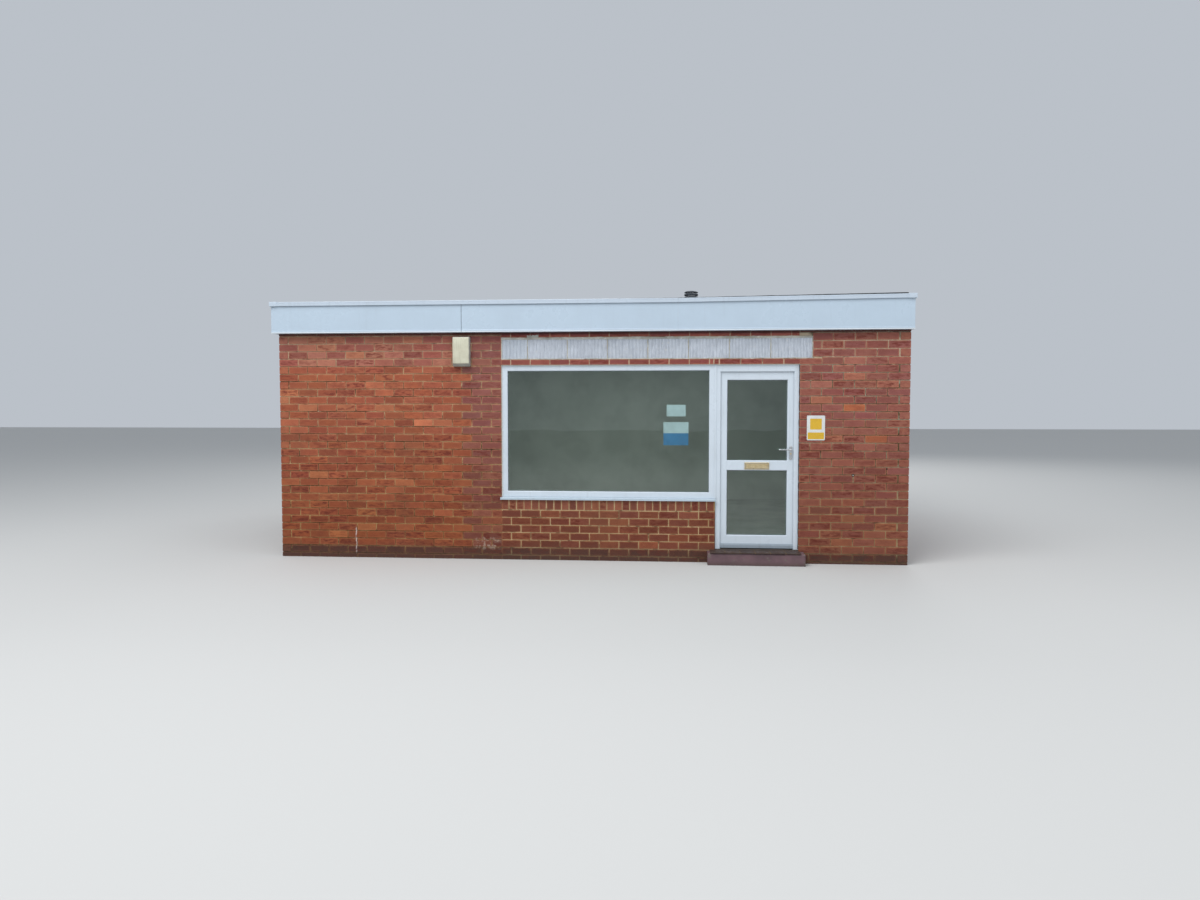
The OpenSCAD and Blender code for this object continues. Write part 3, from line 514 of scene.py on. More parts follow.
# Mortar: weathered olive grey, cream where the wall was mended or built up later, damp at its foot.
def mortarMaterial():
    n = Nodes("mortar", roughness=0.92, specular=0.2)
    x, z = n.axis("X"), n.axis("Z")
    height = n.plus(z, n.swing(0.5, 3.0, 4.0))
    bay, pier = n.limits(x, -0.98, -0.94), n.limits(x, 2.3, 2.34)
    # Fresh under the window, over the frames, low and high in the pier, and along the wall's head.
    fresh = n.chain("MAXIMUM", n.times(bay, n.limits(x, 1.47, 1.43), n.limits(z, 0.72, 0.68)),
                    n.times(bay, n.limits(z, 2.19, 2.21)), n.times(pier, n.limits(height, 0.92, 0.78), 0.62),
                    n.times(pier, n.limits(z, 2.36, 2.42), 0.75), n.times(n.limits(height, 2.14, 2.3), 0.6))
    fresh = n.times(fresh, n.limits(n.axis("Y"), -2.7, -2.74))
    # Some courses are dark, weathered mortar with painted shade over it and some still pale, along stretches
    # of the wall; right of the door, greyer.
    stretch = n.noise(1.0, 4.0, 0.6, n.spread(2.2, 2.2, 11.7))
    pale = n.mix(pier, linear(184, 158, 120), linear(146, 142, 124))
    oldMortarAndShade = n.mix(n.limits(stretch, 0.42, 0.58), linear(96, 80, 58), pale)
    new = n.mix(n.limits(n.noise(6.0, 4.0), 0.35, 0.65), linear(196, 178, 154), linear(166, 146, 120))
    n.colour = n.mix(fresh, oldMortarAndShade, new)
    n.stain(n.noise(24.0, 4.0, 0.6), 0.56, 0.68, 0.5, (206, 192, 168))
    n.stain(n.noise(9.0, 4.0), 0.54, 0.66, 0.75, (70, 56, 44))
    dullBelow(n, (0.9, 0.82, 0.62))
    limeMarks(n)
    # Painted shade under the soffit.
    n.stain(z, 2.536, 2.552, 0.7, (30, 24, 24))
    n.stain(z, 0.2, 0.06, 0.7, (66, 54, 46))
    sand = n.noise(520.0, 3.0, 0.6)
    n.stain(sand, 0.6, 0.72, 0.3, (90, 78, 60))
    n.relief(n.noise(60.0, 4.0, 0.6), 0.003, 0.6)
    n.relief(sand, 0.001, 0.6)
    return n.finish()


# Painted plaster inside the shop: dull off-white, a little patchy and scuffed near the floor.
def plasterMaterial():
    n = Nodes("innerPlaster", roughness=0.8, specular=0.25)
    n.ground(n.noise(1.3, 4.0), 0.4, 0.66, (214, 217, 210), (196, 200, 192))
    n.stain(n.axis("Z"), 0.5, 0.15, 0.35, (150, 148, 140))
    n.relief(n.noise(14.0, 4.0), 0.002, 0.4)
    return n.finish(n.limits(n.noise(30.0), 0.3, 0.7, (0.7, 0.9)))


brick = brickMaterial()
mortar = mortarMaterial()
plaster = plasterMaterial()


# The body of a wall behind its bricks: plaster on the inner faces and mortar on the rest, the hidden ones set
# back.
def mortarBody(shape, x, y, z, hidden, inner, sunk=0.0058):
    x, y = ([span[0] + (sunk if name + "0" in hidden else 0), span[1] - (sunk if name + "1" in hidden else 0)]
            for name, span in (("x", x), ("y", y)))
    for name, face in zip(("z0", "z1", "y0", "x1", "y1", "x0"), boxFaces()):
        shape.add(boxPoints(x, y, z), [face], 2 if name in inner else 1)


x0, x1, y0, y1, thick, top = (shell[name] for name in ("left", "right", "front", "rear", "wall", "top"))
bay, outerLeaf, through = (opening["left"], opening["right"]), (y0, y0 + 0.1), (y0, y0 + thick)
mortarBody(frontBricks, (x0, bay[0]), through, (0, top), "y0 x0", "y1 x1")
mortarBody(frontBricks, (bay[1], x1), through, (0, top), "y0 x1", "y1 x0")
mortarBody(frontBricks, (bay[0], opening["windowRight"]), through, (0, 0.6835), "y0", "y1 z1", 0.0035)
mortarBody(frontBricks, bay, outerLeaf, (opening["frameTop"], opening["blockBase"]), "y0", "", 0.0035)
mortarBody(frontBricks, (bay[0], opening["blocksRight"]), (y0 + 0.002, outerLeaf[1]),
           (opening["blockBase"], opening["blockTop"]), "y0", "")
mortarBody(frontBricks, bay, through, (opening["blockTop"], top), "y0", "y1", 0.003)
mortarBody(frontBricks, bay, (outerLeaf[1], through[1]), (opening["lintelTop"], opening["blockTop"]), "",
           "y1")
mortarBody(sideBricks["left"], (x0, x0 + thick), (y0 + thick, y1 - thick), (0, top), "x0", "x1")
mortarBody(sideBricks["right"], (x1 - thick, x1), (y0 + thick, y1 - thick), (0, top), "x1", "x0")
mortarBody(sideBricks["rear"], (x0, x1), (y1 - thick, y1), (0, top), "y1 x0 x1", "y0")

frontWall = frontBricks.piece("brickworkFront", "shop", brick, mortar, plaster)
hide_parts("front_wall_left", "front_wall_under_window", "brick_sill", "front_wall_right",
            "lintel_course", "front_wall_top")
for side, shape in sideBricks.items():
    wall = shape.piece("brickwork" + side.capitalize(), "shop", brick, mortar, plaster)
    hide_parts(side + "_wall")
print("brickwork", len(frontBricks.faces), {k: len(s.faces) for k, s in sideBricks.items()})


# A point from two measures across an axis and one along it.
def onAxis(axis, a, b, along):
    return {"x": (along, a, b), "y": (a, along, b), "z": (a, b, along)}[axis]


# The corners of a rectangle from its two spans.
def rectangle(a, b):
    return [(a[0], b[0]), (a[1], b[0]), (a[1], b[1]), (a[0], b[1])]


# Rings of points joined one to the next, with the two ends closed.
def loft(shape, rings, slot=0, **numbers):
    size, last = len(rings[0]), len(rings) - 1
    faces = [[n * size + m, n * size + (m + 1) % size, (n + 1) * size + (m + 1) % size, (n + 1) * size + m]
             for n in range(last) for m in range(size)]
    faces += [list(range(size))[::-1], [last * size + m for m in range(size)]]
    shape.add([p for ring in rings for p in ring], faces, slot, **numbers)


# A closed outline drawn out along one axis.
def prism(shape, outline, span, axis="x", slot=0):
    loft(shape, [[onAxis(axis, a, b, s) for a, b in outline] for s in span], slot)


# Members round a rectangle, cut to a mitre at each corner. A point of the section is measured inward from the
# outer edge ("o") or outward from the inner edge ("i"), and then along Y.
def mitredRing(shape, outer, inner, section, slot=0, sides="brtl", foot=None, weld=0.0002):
    outs, ins = rectangle(outer[:2], outer[2:]), rectangle(inner[:2], inner[2:])
    inwards = ((1, 1), (-1, 1), (-1, -1), (1, -1))
    ways = {"b": (0, 1, (1, 0)), "r": (1, 2, (0, 1)), "t": (2, 3, (-1, 0)), "l": (3, 0, (0, -1))}
    for side in sides:
        first, last, way = ways[side]
        rings = []
        for corner, sign in ((first, 1), (last, -1)):
            ring = []
            for anchor, d, y in section:
                base, turn = (outs[corner], 1) if anchor == "o" else (ins[corner], -1)
                x, z = (base[k] + inwards[corner][k] * d * turn + way[k] * weld * sign for k in (0, 1))
                ring.append((x, y, z if foot is None or corner > 1 else foot))
            rings.append(ring)
        loft(shape, rings, slot)


# The radius that stands for a point on the axis.
onCentre = 0.0001


def grow(rect, by):
    return (rect[0] - by, rect[1] + by, rect[2] - by, rect[3] + by)


# A round bar that follows a path; wide and high may change from point to point.
def sweepBar(shape, path, wide, high, sides):
    rings = []
    for n, point in enumerate(path):
        ahead = Vector(path[min(n + 1, len(path) - 1)]) - Vector(path[max(n - 1, 0)])
        across = ahead.cross(Vector((0, 0, 1))).normalized()
        over = across.cross(ahead).normalized()
        rings.append([tuple(Vector(point) + across * wide[n] * math.cos(2 * math.pi * k / sides)
                            + over * high[n] * math.sin(2 * math.pi * k / sides)) for k in range(sides)])
    loft(shape, rings)


# Turned shape: a profile of (radius, distance) about an axis through centre. flatEnds closes flat ends.
def lathe(shape, centre, profile, axis="z", sides=40, slot=0, flatEnds=False):
    if flatEnds:
        profile = [(onCentre, profile[0][1]), *profile, (onCentre, profile[-1][1])]
    rings = []
    for r, s in profile:
        turns = [2 * math.pi * k / sides for k in range(sides)]
        rings.append([tuple(c + v for c, v in zip(centre, onAxis(axis, r * math.cos(t), r * math.sin(t), s)))
                      for t in turns])
    loft(shape, rings, slot)


# An outline with rounded corners, as points (a, b).
def roundedOutline(a, b, radius, steps=5):
    made = []
    for ca, cb, start in ((a[1] - radius, b[1] - radius, 0), (a[0] + radius, b[1] - radius, 90),
                          (a[0] + radius, b[0] + radius, 180), (a[1] - radius, b[0] + radius, 270)):
        for k in range(steps + 1):
            t = math.radians(start + 90 * k / steps)
            made.append((ca + radius * math.cos(t), cb + radius * math.sin(t)))
    return made


# A moulding on a face at y: layers of (out, side, low, high, radius), each a rounded outline that stands out
# from the face and is drawn in from the spans x and z. way is -1 towards the street and 1 into the room.
def moulded(shape, x, z, layers, y, way, steps=5, slot=0):
    rings = []
    for out, side, low, high, radius in layers:
        outline = roundedOutline((x[0] + side, x[1] - side), (z[0] + low, z[1] - high), radius, steps)
        rings.append([(a, y + way * out, b) for a, b in outline])
    loft(shape, rings, slot)


# A raised screw head with a cross cut in it, facing along -Y or, with way 1, along +Y.
def screwHead(shape, x, y, z, radius, way=-1, slot=0):
    rings = ((1.0, 0), (0.95, 0.0007), (0.6, 0.0013), (0.22, 0.0015), (0.2, 0.0004))
    profile = [(radius * share, way * out) for share, out in rings] + [(onCentre, way * 0.0004)]
    lathe(shape, (x, y, z), profile, "y", 16, slot)


# White window plastic: smooth, with faint dust in its corners and a few rubbed places.
def upvcMaterial(name, tone, grime, dirt=0.3):
    n = Nodes(name, roughness=0.34)
    cloud = n.noise(2.6, 5.0, 0.6)
    n.ground(cloud, 0.42, 0.68, tone, darker(tone, 0.95), 0.5)
    n.stain(n.noise(1.0, 4.0, 0.65, n.spread(26, 26, 1.6)), 0.56, 0.76, dirt, grime)
    n.stain(n.noise(60.0, 4.0, 0.7), 0.6, 0.76, dirt * 0.8, grime)
    n.relief(n.noise(9.0, 3.0, 0.5), 0.0006, 0.35)
    n.relief(n.noise(700.0, 2.0, 0.5), 0.0001, 0.35)
    return n.finish(n.limits(cloud, 0.35, 0.7, (0.24, 0.46)))


# Dense building blocks with a combed face: grey, sandy, and blotched where they have weathered.
def blockMaterial():
    n = Nodes("concreteBlock", roughness=0.94, specular=0.2)
    chance = n.attribute("chance")
    place = n.shifted(chance, 9.0)
    n.ground(n.noise(7.0, 5.0, 0.65, place), 0.36, 0.68, (198, 204, 213), (176, 181, 190))
    n.stain(chance, 0.86, 0.98, 0.5, (196, 206, 216))
    ridges = n.plus(n.times(n.axis("X", place), 400.0), n.times(n.noise(14.0, 2.0, 0.5, place), 3.2))
    ridges = n.times(n.math("SINE", ridges), n.limits(chance, 0.3, 1.0, (0.22, 0.42)))
    comb = n.plus(ridges, n.noise(1.0, 3.0, 0.6, n.spread(120, 10, 9, place)))
    n.stain(comb, 0.48, 0.78, 0.7, (130, 137, 150))
    n.stain(comb, 0.42, 0.2, 0.5, (206, 214, 222))
    n.stain(n.noise(30.0, 3.0, 0.6, place), 0.6, 0.72, 0.45, (206, 205, 200))
    pores = n.noise(330.0, 2.0, 0.6, place)
    n.stain(pores, 0.6, 0.7, 0.55, (96, 97, 98))
    n.relief(comb, 0.003, 0.8)
    n.relief(pores, 0.002, 0.7)
    return n.finish()


# Mortar left ragged over the blocks: buff and cream, floated roughly.
def buffMortarMaterial():
    n = Nodes("buffMortar", roughness=0.93, specular=0.2)
    n.ground(n.noise(9.0, 4.0), 0.36, 0.64, (192, 191, 182), (160, 158, 148))
    n.stain(n.noise(28.0, 4.0), 0.58, 0.72, 0.7, (222, 220, 212))
    n.stain(n.noise(340.0, 2.0), 0.6, 0.7, 0.4, (110, 92, 72))
    n.relief(n.noise(70.0, 4.0, 0.6), 0.004, 0.6)
    n.relief(n.noise(480.0, 3.0), 0.001, 0.6)
    return n.finish()


# Clear glass with the faint green of its body: it lets the eye through and mirrors more at a low angle.
def glassMaterial():
    n = Nodes("paneGlass")
    clear, gloss = n.node("ShaderNodeBsdfTransparent"), n.node("ShaderNodeBsdfGlossy")
    tint, bend = (0.93, 0.97, 0.955), 1.5
    dust = n.noise(3.0, 4.0, 0.6)
    n.link(n.mix(n.limits(dust, 0.45, 0.75, (0.0, 0.4)), tint + (1.0,), darker(tint, 0.9) + (1.0,)),
           clear.inputs["Color"])
    n.link(n.limits(dust, 0.4, 0.7, (0.008, 0.03)), gloss.inputs["Roughness"])
    n.relief(n.noise(1.6, 2.0, 0.5), 0.004, 0.2)
    n.link(n.normal, gloss.inputs["Normal"])
    # A ray leaving a sheet is mirrored as a ray entering it is, since nothing here bends the light.
    fresnel, blend = n.node("ShaderNodeFresnel"), n.node("ShaderNodeMixShader")
    leaving = n.node("ShaderNodeNewGeometry").outputs["Backfacing"]
    n.link(n.limits(leaving, 0.0, 1.0, (bend, 1 / bend)), fresnel.inputs["IOR"])
    for index, made in enumerate((fresnel, clear, gloss)):
        n.link(made.outputs[0], blend.inputs[index])
    n.link(blend.outputs[0], n.tree.nodes["Material Output"].inputs["Surface"])
    n.tree.nodes.remove(n.shader)
    return n.material


# Black rubber, dulled and dusty.
def rubberMaterial():
    n = Nodes("sealRubber", roughness=0.62, specular=0.35)
    n.ground(n.noise(40.0, 3.0), 0.4, 0.7, (34, 36, 38), (66, 66, 66))
    n.relief(n.noise(300.0), 0.0003, 0.5)
    return n.finish(n.limits(n.noise(22.0), 0.3, 0.7, (0.5, 0.75)))


# Bare metal, brushed along one way, with darker tarnish in places.
def metalMaterial(name, tone, tarnish, rough=(0.22, 0.42), brush=(30, 30, 900)):
    n = Nodes(name, metallic=1.0, roughness=0.3)
    spots = n.noise(45.0, 5.0, 0.65)
    n.ground(spots, 0.46, 0.72, tone, tarnish, 0.7)
    n.relief(n.noise(1.0, 3.0, 0.6, n.spread(*brush)), 0.00025, 0.5)
    return n.finish(n.limits(spots, 0.35, 0.7, rough))


# Cast concrete for the floor, the lintel and the sill of the doorway: floated, mottled, with fine pores.
def concreteMaterial(name, light, dark):
    n = Nodes(name, roughness=0.86, specular=0.25)
    n.ground(n.noise(1.7, 5.0, 0.6), 0.36, 0.66, light, dark)
    n.stain(n.noise(22.0, 4.0, 0.65), 0.56, 0.74, 0.45, darker(dark, 0.72))
    pores = n.noise(210.0, 3.0, 0.6)
    n.stain(pores, 0.62, 0.72, 0.5, darker(dark, 0.6))
    n.relief(n.noise(8.0, 4.0), 0.004, 0.3)
    n.relief(pores, 0.001, 0.5)
    return n.finish(n.limits(pores, 0.3, 0.7, (0.72, 0.92)))


# Worn pink step paint over concrete, which shows through at the edges and where feet have rubbed.
def stepPaintMaterial():
    n = Nodes("stepPaint", roughness=0.75, specular=0.3)
    n.ground(n.noise(6.0, 4.0), 0.38, 0.66, (112, 87, 92), (92, 73, 78))
    worn = n.limits(n.plus(n.noise(13.0, 5.0, 0.7), n.times(n.attribute("worn"), 0.12)), 0.58, 0.66)
    n.colour = n.mix(worn, n.colour, n.mix(n.noise(60.0), linear(126, 114, 108), linear(94, 84, 80)))
    n.stain(n.axis("Z"), 0.05, 0.0, 0.7, (78, 66, 60))
    n.relief(n.math("SUBTRACT", 1.0, worn), 0.0008, 0.7)
    n.relief(n.noise(170.0, 3.0), 0.0012, 0.5)
    return n.finish(n.limits(worn, 0.0, 1.0, (0.55, 0.9)))


# Fired floor tiles, brown with lighter and darker burns.
def tileMaterial():
    n = Nodes("quarryTile", roughness=0.55, specular=0.4)
    place = n.shifted(n.attribute("chance"), 5.0)
    n.ground(n.noise(7.0, 4.0, 0.6, place), 0.35, 0.68, (70, 52, 44), (50, 38, 34))
    n.stain(n.noise(80.0, 3.0, 0.6, place), 0.58, 0.7, 0.5, (104, 84, 70))
    n.relief(n.noise(120.0, 4.0), 0.0007, 0.6)
    return n.finish(n.limits(n.noise(16.0, 3.0), 0.35, 0.65, (0.4, 0.75)))


# Roofing felt: dark mineral granules, bleached patches, and black bitumen along the laps.
def feltMaterial():
    n = Nodes("roofFelt", roughness=0.93, specular=0.2)
    granules = n.cells(520.0)
    n.ground(n.noise(1.0, 5.0, 0.6), 0.36, 0.66, (74, 78, 82), (54, 56, 60))
    n.stain(granules, 0.25, 0.5, 0.4, (112, 114, 116))
    n.stain(n.noise(0.55, 6.0, 0.65), 0.5, 0.7, 0.5, (98, 94, 82))
    n.stain(n.noise(11.0, 4.0), 0.6, 0.72, 0.4, (72, 84, 62))
    bleed = n.limits(n.plus(n.attribute("lap"), n.times(n.noise(18.0, 3.0), 0.9)), 1.0, 1.25)
    n.cover(bleed, (26, 26, 28))
    n.relief(n.noise(3.0, 4.0), 0.006, 0.4)
    n.relief(granules, 0.0012, 0.6)
    return n.finish(n.limits(bleed, 0.0, 1.0, (0.94, 0.5)))


# Sawn timber: grain drawn out along one way of the piece, with knots.
def timberMaterial(name, light, dark, grain):
    n = Nodes(name, roughness=0.7, specular=0.25)
    place = n.shifted(n.attribute("chance"), 11.0)
    rings = n.noise(1.0, 4.0, 0.6, n.spread(*grain, place), 0.8)
    n.ground(rings, 0.4, 0.62, light, dark)
    n.stain(n.cells(2.1, n.spread(1, 0.35, 1, place)), 0.06, 0.0, 1.0, (92, 58, 34))
    n.relief(rings, 0.001, 0.5)
    return n.finish(n.limits(rings, 0.3, 0.7, (0.6, 0.8)))


upvc = upvcMaterial("frameUpvc", (204, 214, 223), (150, 156, 154), 0.2)
cillWhite = upvcMaterial("cillUpvc", (182, 197, 208), (142, 148, 148), 0.3)
thresholdGrey = upvcMaterial("thresholdUpvc", (146, 158, 168), (112, 116, 116), 0.45)
fasciaWhite = upvcMaterial("fasciaUpvc", (181, 197, 211), (150, 160, 170), 0.12)
trimWhite = upvcMaterial("trimUpvc", (186, 198, 210), (140, 148, 154), 0.2)
edgeWhite = upvcMaterial("fasciaEdge", (220, 228, 234), (190, 196, 200), 0.1)
block = blockMaterial()
buffMortar = buffMortarMaterial()
paneGlass = glassMaterial()
rubber = rubberMaterial()
silver = metalMaterial("satinSilver", (206, 208, 210), (150, 150, 150))
spacerMetal = metalMaterial("spacerMetal", (168, 172, 176), (120, 122, 124))
brass = metalMaterial("lacqueredBrass", (232, 212, 168), (176, 144, 94), (0.24, 0.46), (900, 30, 30))
floorConcrete = concreteMaterial("floorConcrete", (168, 168, 162), (144, 144, 138))
castConcrete = concreteMaterial("castConcrete", (150, 148, 142), (124, 122, 116))
sillConcrete = concreteMaterial("sillConcrete", (92, 84, 78), (68, 62, 58))
stepPaint = stepPaintMaterial()
quarryTile = tileMaterial()
roofFelt = feltMaterial()
joistTimber = timberMaterial("joistTimber", (206, 172, 122), (168, 128, 82), (26, 1.2, 60))
deckBoard = timberMaterial("deckBoard", (190, 156, 108), (158, 122, 80), (2, 14, 40))
print("materials made")


# Shop window: mitred frame, rubber gasket, double glazing on a spacer, inner beads, cill and coupling strip.
window = {"outer": (-0.955, 1.445, 0.7145, 2.205), "front": -2.775, "back": -2.705, "face": 0.054,
          "lip": 0.014, "pane": 0.028, "sheet": 0.006, "seat": 0.0003, "bead": 0.018, "beadDepth": 0.014,
          "nose": -2.822, "cillBase": 0.6845, "cap": 0.014}


def frameSection(front, lipBack, back, bevel=0.0065):
    return [("o", 0, front + 0.0022), ("o", 0.0007, front + 0.0007), ("o", 0.0022, front),
            ("i", 0.0105, front), ("i", bevel, front + 0.0009), ("i", 0.0009, front + bevel),
            ("i", 0, front + 0.0105),
            ("i", 0, lipBack), ("i", 0.014, lipBack), ("i", 0.014, back - 0.0015), ("i", 0.0155, back),
            ("o", 0.002, back), ("o", 0, back - 0.002)]


# Rubber that shows as a thin dark line round the glass, at the lip's back.
def gasketRing(shape, sight, lipBack):
    mitredRing(shape, sight, grow(sight, -0.0032), [("o", 0, lipBack + 0.0003), ("o", 0, lipBack - 0.006),
               ("i", 0.0005, lipBack - 0.0014), ("i", 0, lipBack + 0.0003)], 1, weld=0.0)


# Two sheets of glass held apart by a metal spacer with rounded corners.
def doublePane(name, body, rects, front, thick, sheet, node):
    shape = Shape()
    low, high = front + sheet, front + thick - sheet
    for rect in rects:
        for at in (front, high):
            prism(shape, rectangle(rect[:2], rect[2:]), (at, at + sheet), "y")
        mitredRing(shape, grow(rect, -0.003), grow(rect, -0.0158), [
            ("o", 0, low + 0.0002), ("o", 0, high - 0.0002), ("i", 0.001, high - 0.0002),
            ("i", 0, high - 0.003), ("i", 0, low + 0.003), ("i", 0.001, low + 0.0002)], 1, weld=0.0)
    made = shape.piece(name, body, paneGlass, spacerMetal)
    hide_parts(node)


def beadRings(name, body, rects, span, width, node):
    shape = Shape()
    front, back = span
    for rect in rects:
        mitredRing(shape, rect, grow(rect, -width), [
            ("o", 0, front), ("o", 0, back - 0.001), ("o", 0.001, back), ("i", 0.0095, back),
            ("i", 0.006, back - 0.0008), ("i", 0.0006, back - 0.0062), ("i", 0, back - 0.0085),
            ("i", 0, front)])
    made = shape.piece(name, body, upvc)
    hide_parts(node)


def buildShopWindow():
    w = window
    lipBack = w["front"] + w["lip"]
    sight = grow(w["outer"], -w["face"] - w["lip"])
    shape = Shape()
    mitredRing(shape, w["outer"], sight, frameSection(w["front"], lipBack, w["back"]))
    gasketRing(shape, sight, lipBack)
    made = shape.piece("shopWindowFrame", "shop", upvc, rubber)
    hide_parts("window_frame")
    pane = grow(w["outer"], -w["face"] - w["seat"])
    glassFront = lipBack + w["seat"]
    doublePane("shopWindowGlass", "shop", [pane], glassFront, w["pane"], w["sheet"], "window_glass")
    beadFront = glassFront + w["pane"] + w["seat"]
    beadRings("shopWindowBeads", "shop", [pane], (beadFront, beadFront + w["beadDepth"]), w["bead"],
              "window_beads")

    # The cill's nose is rounded, has a drip groove under it, and end caps that stand out past the frame.
    x0, x1, top, head = w["outer"]
    nose, base, cap, wallFace = w["nose"], w["cillBase"], w["cap"], shell["front"]
    cill = Shape()
    prism(cill, [(nose + 0.001, base + 0.0003), (nose, base + 0.0015), (nose, 0.7065), (nose + 0.0012, 0.709),
                 (nose + 0.004, 0.7098), (w["front"] - 0.001, top - 0.0003), (w["back"], top),
                 (w["back"], base), (wallFace, base), (wallFace, base + 0.0003),
                 (nose + 0.014, base + 0.0003), (nose + 0.013, base + 0.003), (nose + 0.009, base + 0.003),
                 (nose + 0.008, base + 0.0003)], (x0, x1))
    for span in ((x0 - cap, x0 + 0.003), (x1 - 0.003, x1 + cap)):
        outline = roundedOutline((nose - 0.0008, wallFace - 0.0003), (base + 0.0003, 0.7108), 0.0022, 3)
        prism(cill, outline, span)
    made = cill.piece("windowCill", "shop", cillWhite)
    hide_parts("window_cill")

    strip = Shape()
    prism(strip, [(1.433, -2.775), (1.4332, -2.7782), (1.4345, -2.7794), (1.438, -2.78), (1.456, -2.78),
                  (1.4595, -2.7794), (1.4608, -2.7782), (1.461, -2.775)], (top, head), "z")
    made = strip.piece("couplingStrip", "shop", upvc)
    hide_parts("coupling_strip")


# Mastic in the corner between brick and frame: a fillet with a wavering edge, up one side, over and down.
# Beside the door the fillet is dark rubber instead, painted shade for the gap between frame and brick.
def buildMastic():
    dice = random.Random(71)
    shape = Shape()
    front, x0, x1, foot, head = window["front"], opening["left"], opening["right"], 0.16, opening["frameTop"]
    for way, fixed, sign, low, high, slot in (("up", x0, 1, 0.72, head, 0), ("over", head, -1, x0, x1, 0),
                                              ("up", x1, -1, foot, head, 1),
                                              ("up", 1.4485, -1, foot, 0.68, 1)):
        steps = int((high - low) / 0.03)
        rings = []
        for k in range(steps + 1):
            at = low + (high - low) * k / steps
            size = 0.0075 + dice.gauss(0, 0.0012)
            row = [(0.0, -size * 1.1), (size * 0.35, -size * 0.42), (size, 0.0), (0.0, 0.0)]
            rings.append([(fixed + sign * a, front + b, at) if way == "up"
                          else (at, front + b, fixed + sign * a) for a, b in row])
        loft(shape, rings, slot)
    mastic = upvcMaterial("mastic", (206, 206, 200), (120, 112, 100), 0.45)
    made = shape.piece("frameMastic", "shop", mastic, rubber)


buildShopWindow()
buildMastic()
print("shop window built")


# Door set: frame, threshold, leaf with a middle rail, glass, letter plate, levers, lock and hinges.
door = {"outer": (1.449, 2.365, 0.152, 2.205), "jamb": 0.044, "head": 0.07, "lip": 0.014, "front": -2.775,
        "back": -2.705, "leaf": (1.498, 2.313, 0.205, 2.128), "leafFront": -2.755, "light": (1.579, 2.235),
        "upper": (1.142, 2.03), "lower": (0.308, 1.028), "pane": 0.024, "sheet": 0.004, "seat": 0.0003,
        "bead": 0.018}
letter = {"x": 1.907, "z": 1.079, "wide": 0.27, "high": 0.076, "thick": 0.011, "rim": 0.01,
          "slot": (0.23, 0.036), "flap": (0.24, 0.046), "pin": (-2.7615, 1.0985)}
handle = {"x": 2.277, "z": 1.263, "plate": (0.034, 0.154, 0.008), "top": 1.302, "grip": 0.132, "out": 0.034,
          "turn": 0.013, "lockDrop": 0.048, "lockRadius": 0.0085}
hinge = {"axis": (1.4955, -2.696), "radius": 0.008, "high": 0.048, "at": (0.375, 1.1185, 1.862),
         "flag": (0.034, 0.004)}


def buildDoorFrame():
    d = door
    front, back, lipBack = d["front"], d["back"], d["front"] + d["lip"]
    x0, x1, z0, z1 = d["outer"]
    sight = (x0 + d["jamb"] + d["lip"], x1 - d["jamb"] - d["lip"], z0, z1 - d["head"] - d["lip"])
    shape = Shape()
    mitredRing(shape, d["outer"], sight, frameSection(front, lipBack, back), 0, "rtl", foot=z0)
    mitredRing(shape, grow(sight, 0.009), grow(sight, 0.001), [
        ("o", 0, lipBack - 0.0002), ("o", 0, lipBack + 0.003), ("o", 0.003, lipBack + 0.0056),
        ("i", 0.002, lipBack + 0.0056), ("i", 0, lipBack + 0.002), ("i", 0, lipBack - 0.0002)],
        1, "rtl", foot=z0 + 0.046, weld=0.0)
    made = shape.piece("doorFrame", "shop", upvc, rubber)
    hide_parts("door_frame")

    # Low threshold with a fall to the outside and a dark seal on its upstand.
    bar = Shape()
    prism(bar, [(lipBack, 0.163), (back - 0.001, 0.163), (back, 0.164), (back, 0.1965),
                (back - 0.0015, 0.198), (lipBack + 0.0005, 0.198), (lipBack, 0.1975)],
          (x0 + d["jamb"], x1 - d["jamb"]))
    prism(bar, [(front + 0.001, 0.163), (lipBack, 0.163), (lipBack, 0.212), (front + 0.009, 0.212),
                (front + 0.0055, 0.2105), (front + 0.0016, 0.199), (front, 0.195), (front, 0.164)], sight[:2])
    prism(bar, [(lipBack - 0.0002, 0.2045), (lipBack + 0.0056, 0.206), (lipBack + 0.0056, 0.2095),
                (lipBack - 0.0002, 0.211)], (sight[0] - 0.006, sight[1] + 0.006), "x", 1)
    made = bar.piece("doorThreshold", "shop", thresholdGrey, rubber)
    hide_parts("door_threshold")


# Half of the middle rail's section, from the height cut to the light at edge.
def railSection(cut, edge, front, lipBack, back):
    way = 1 if edge > cut else -1
    return [(front, cut), (front, edge - way * 0.0105), (front + 0.0009, edge - way * 0.0065),
            (front + 0.0065, edge - way * 0.0009), (front + 0.0105, edge), (lipBack, edge),
            (lipBack, edge - way * 0.014), (back - 0.0015, edge - way * 0.014), (back, edge - way * 0.0155),
            (back, cut)]


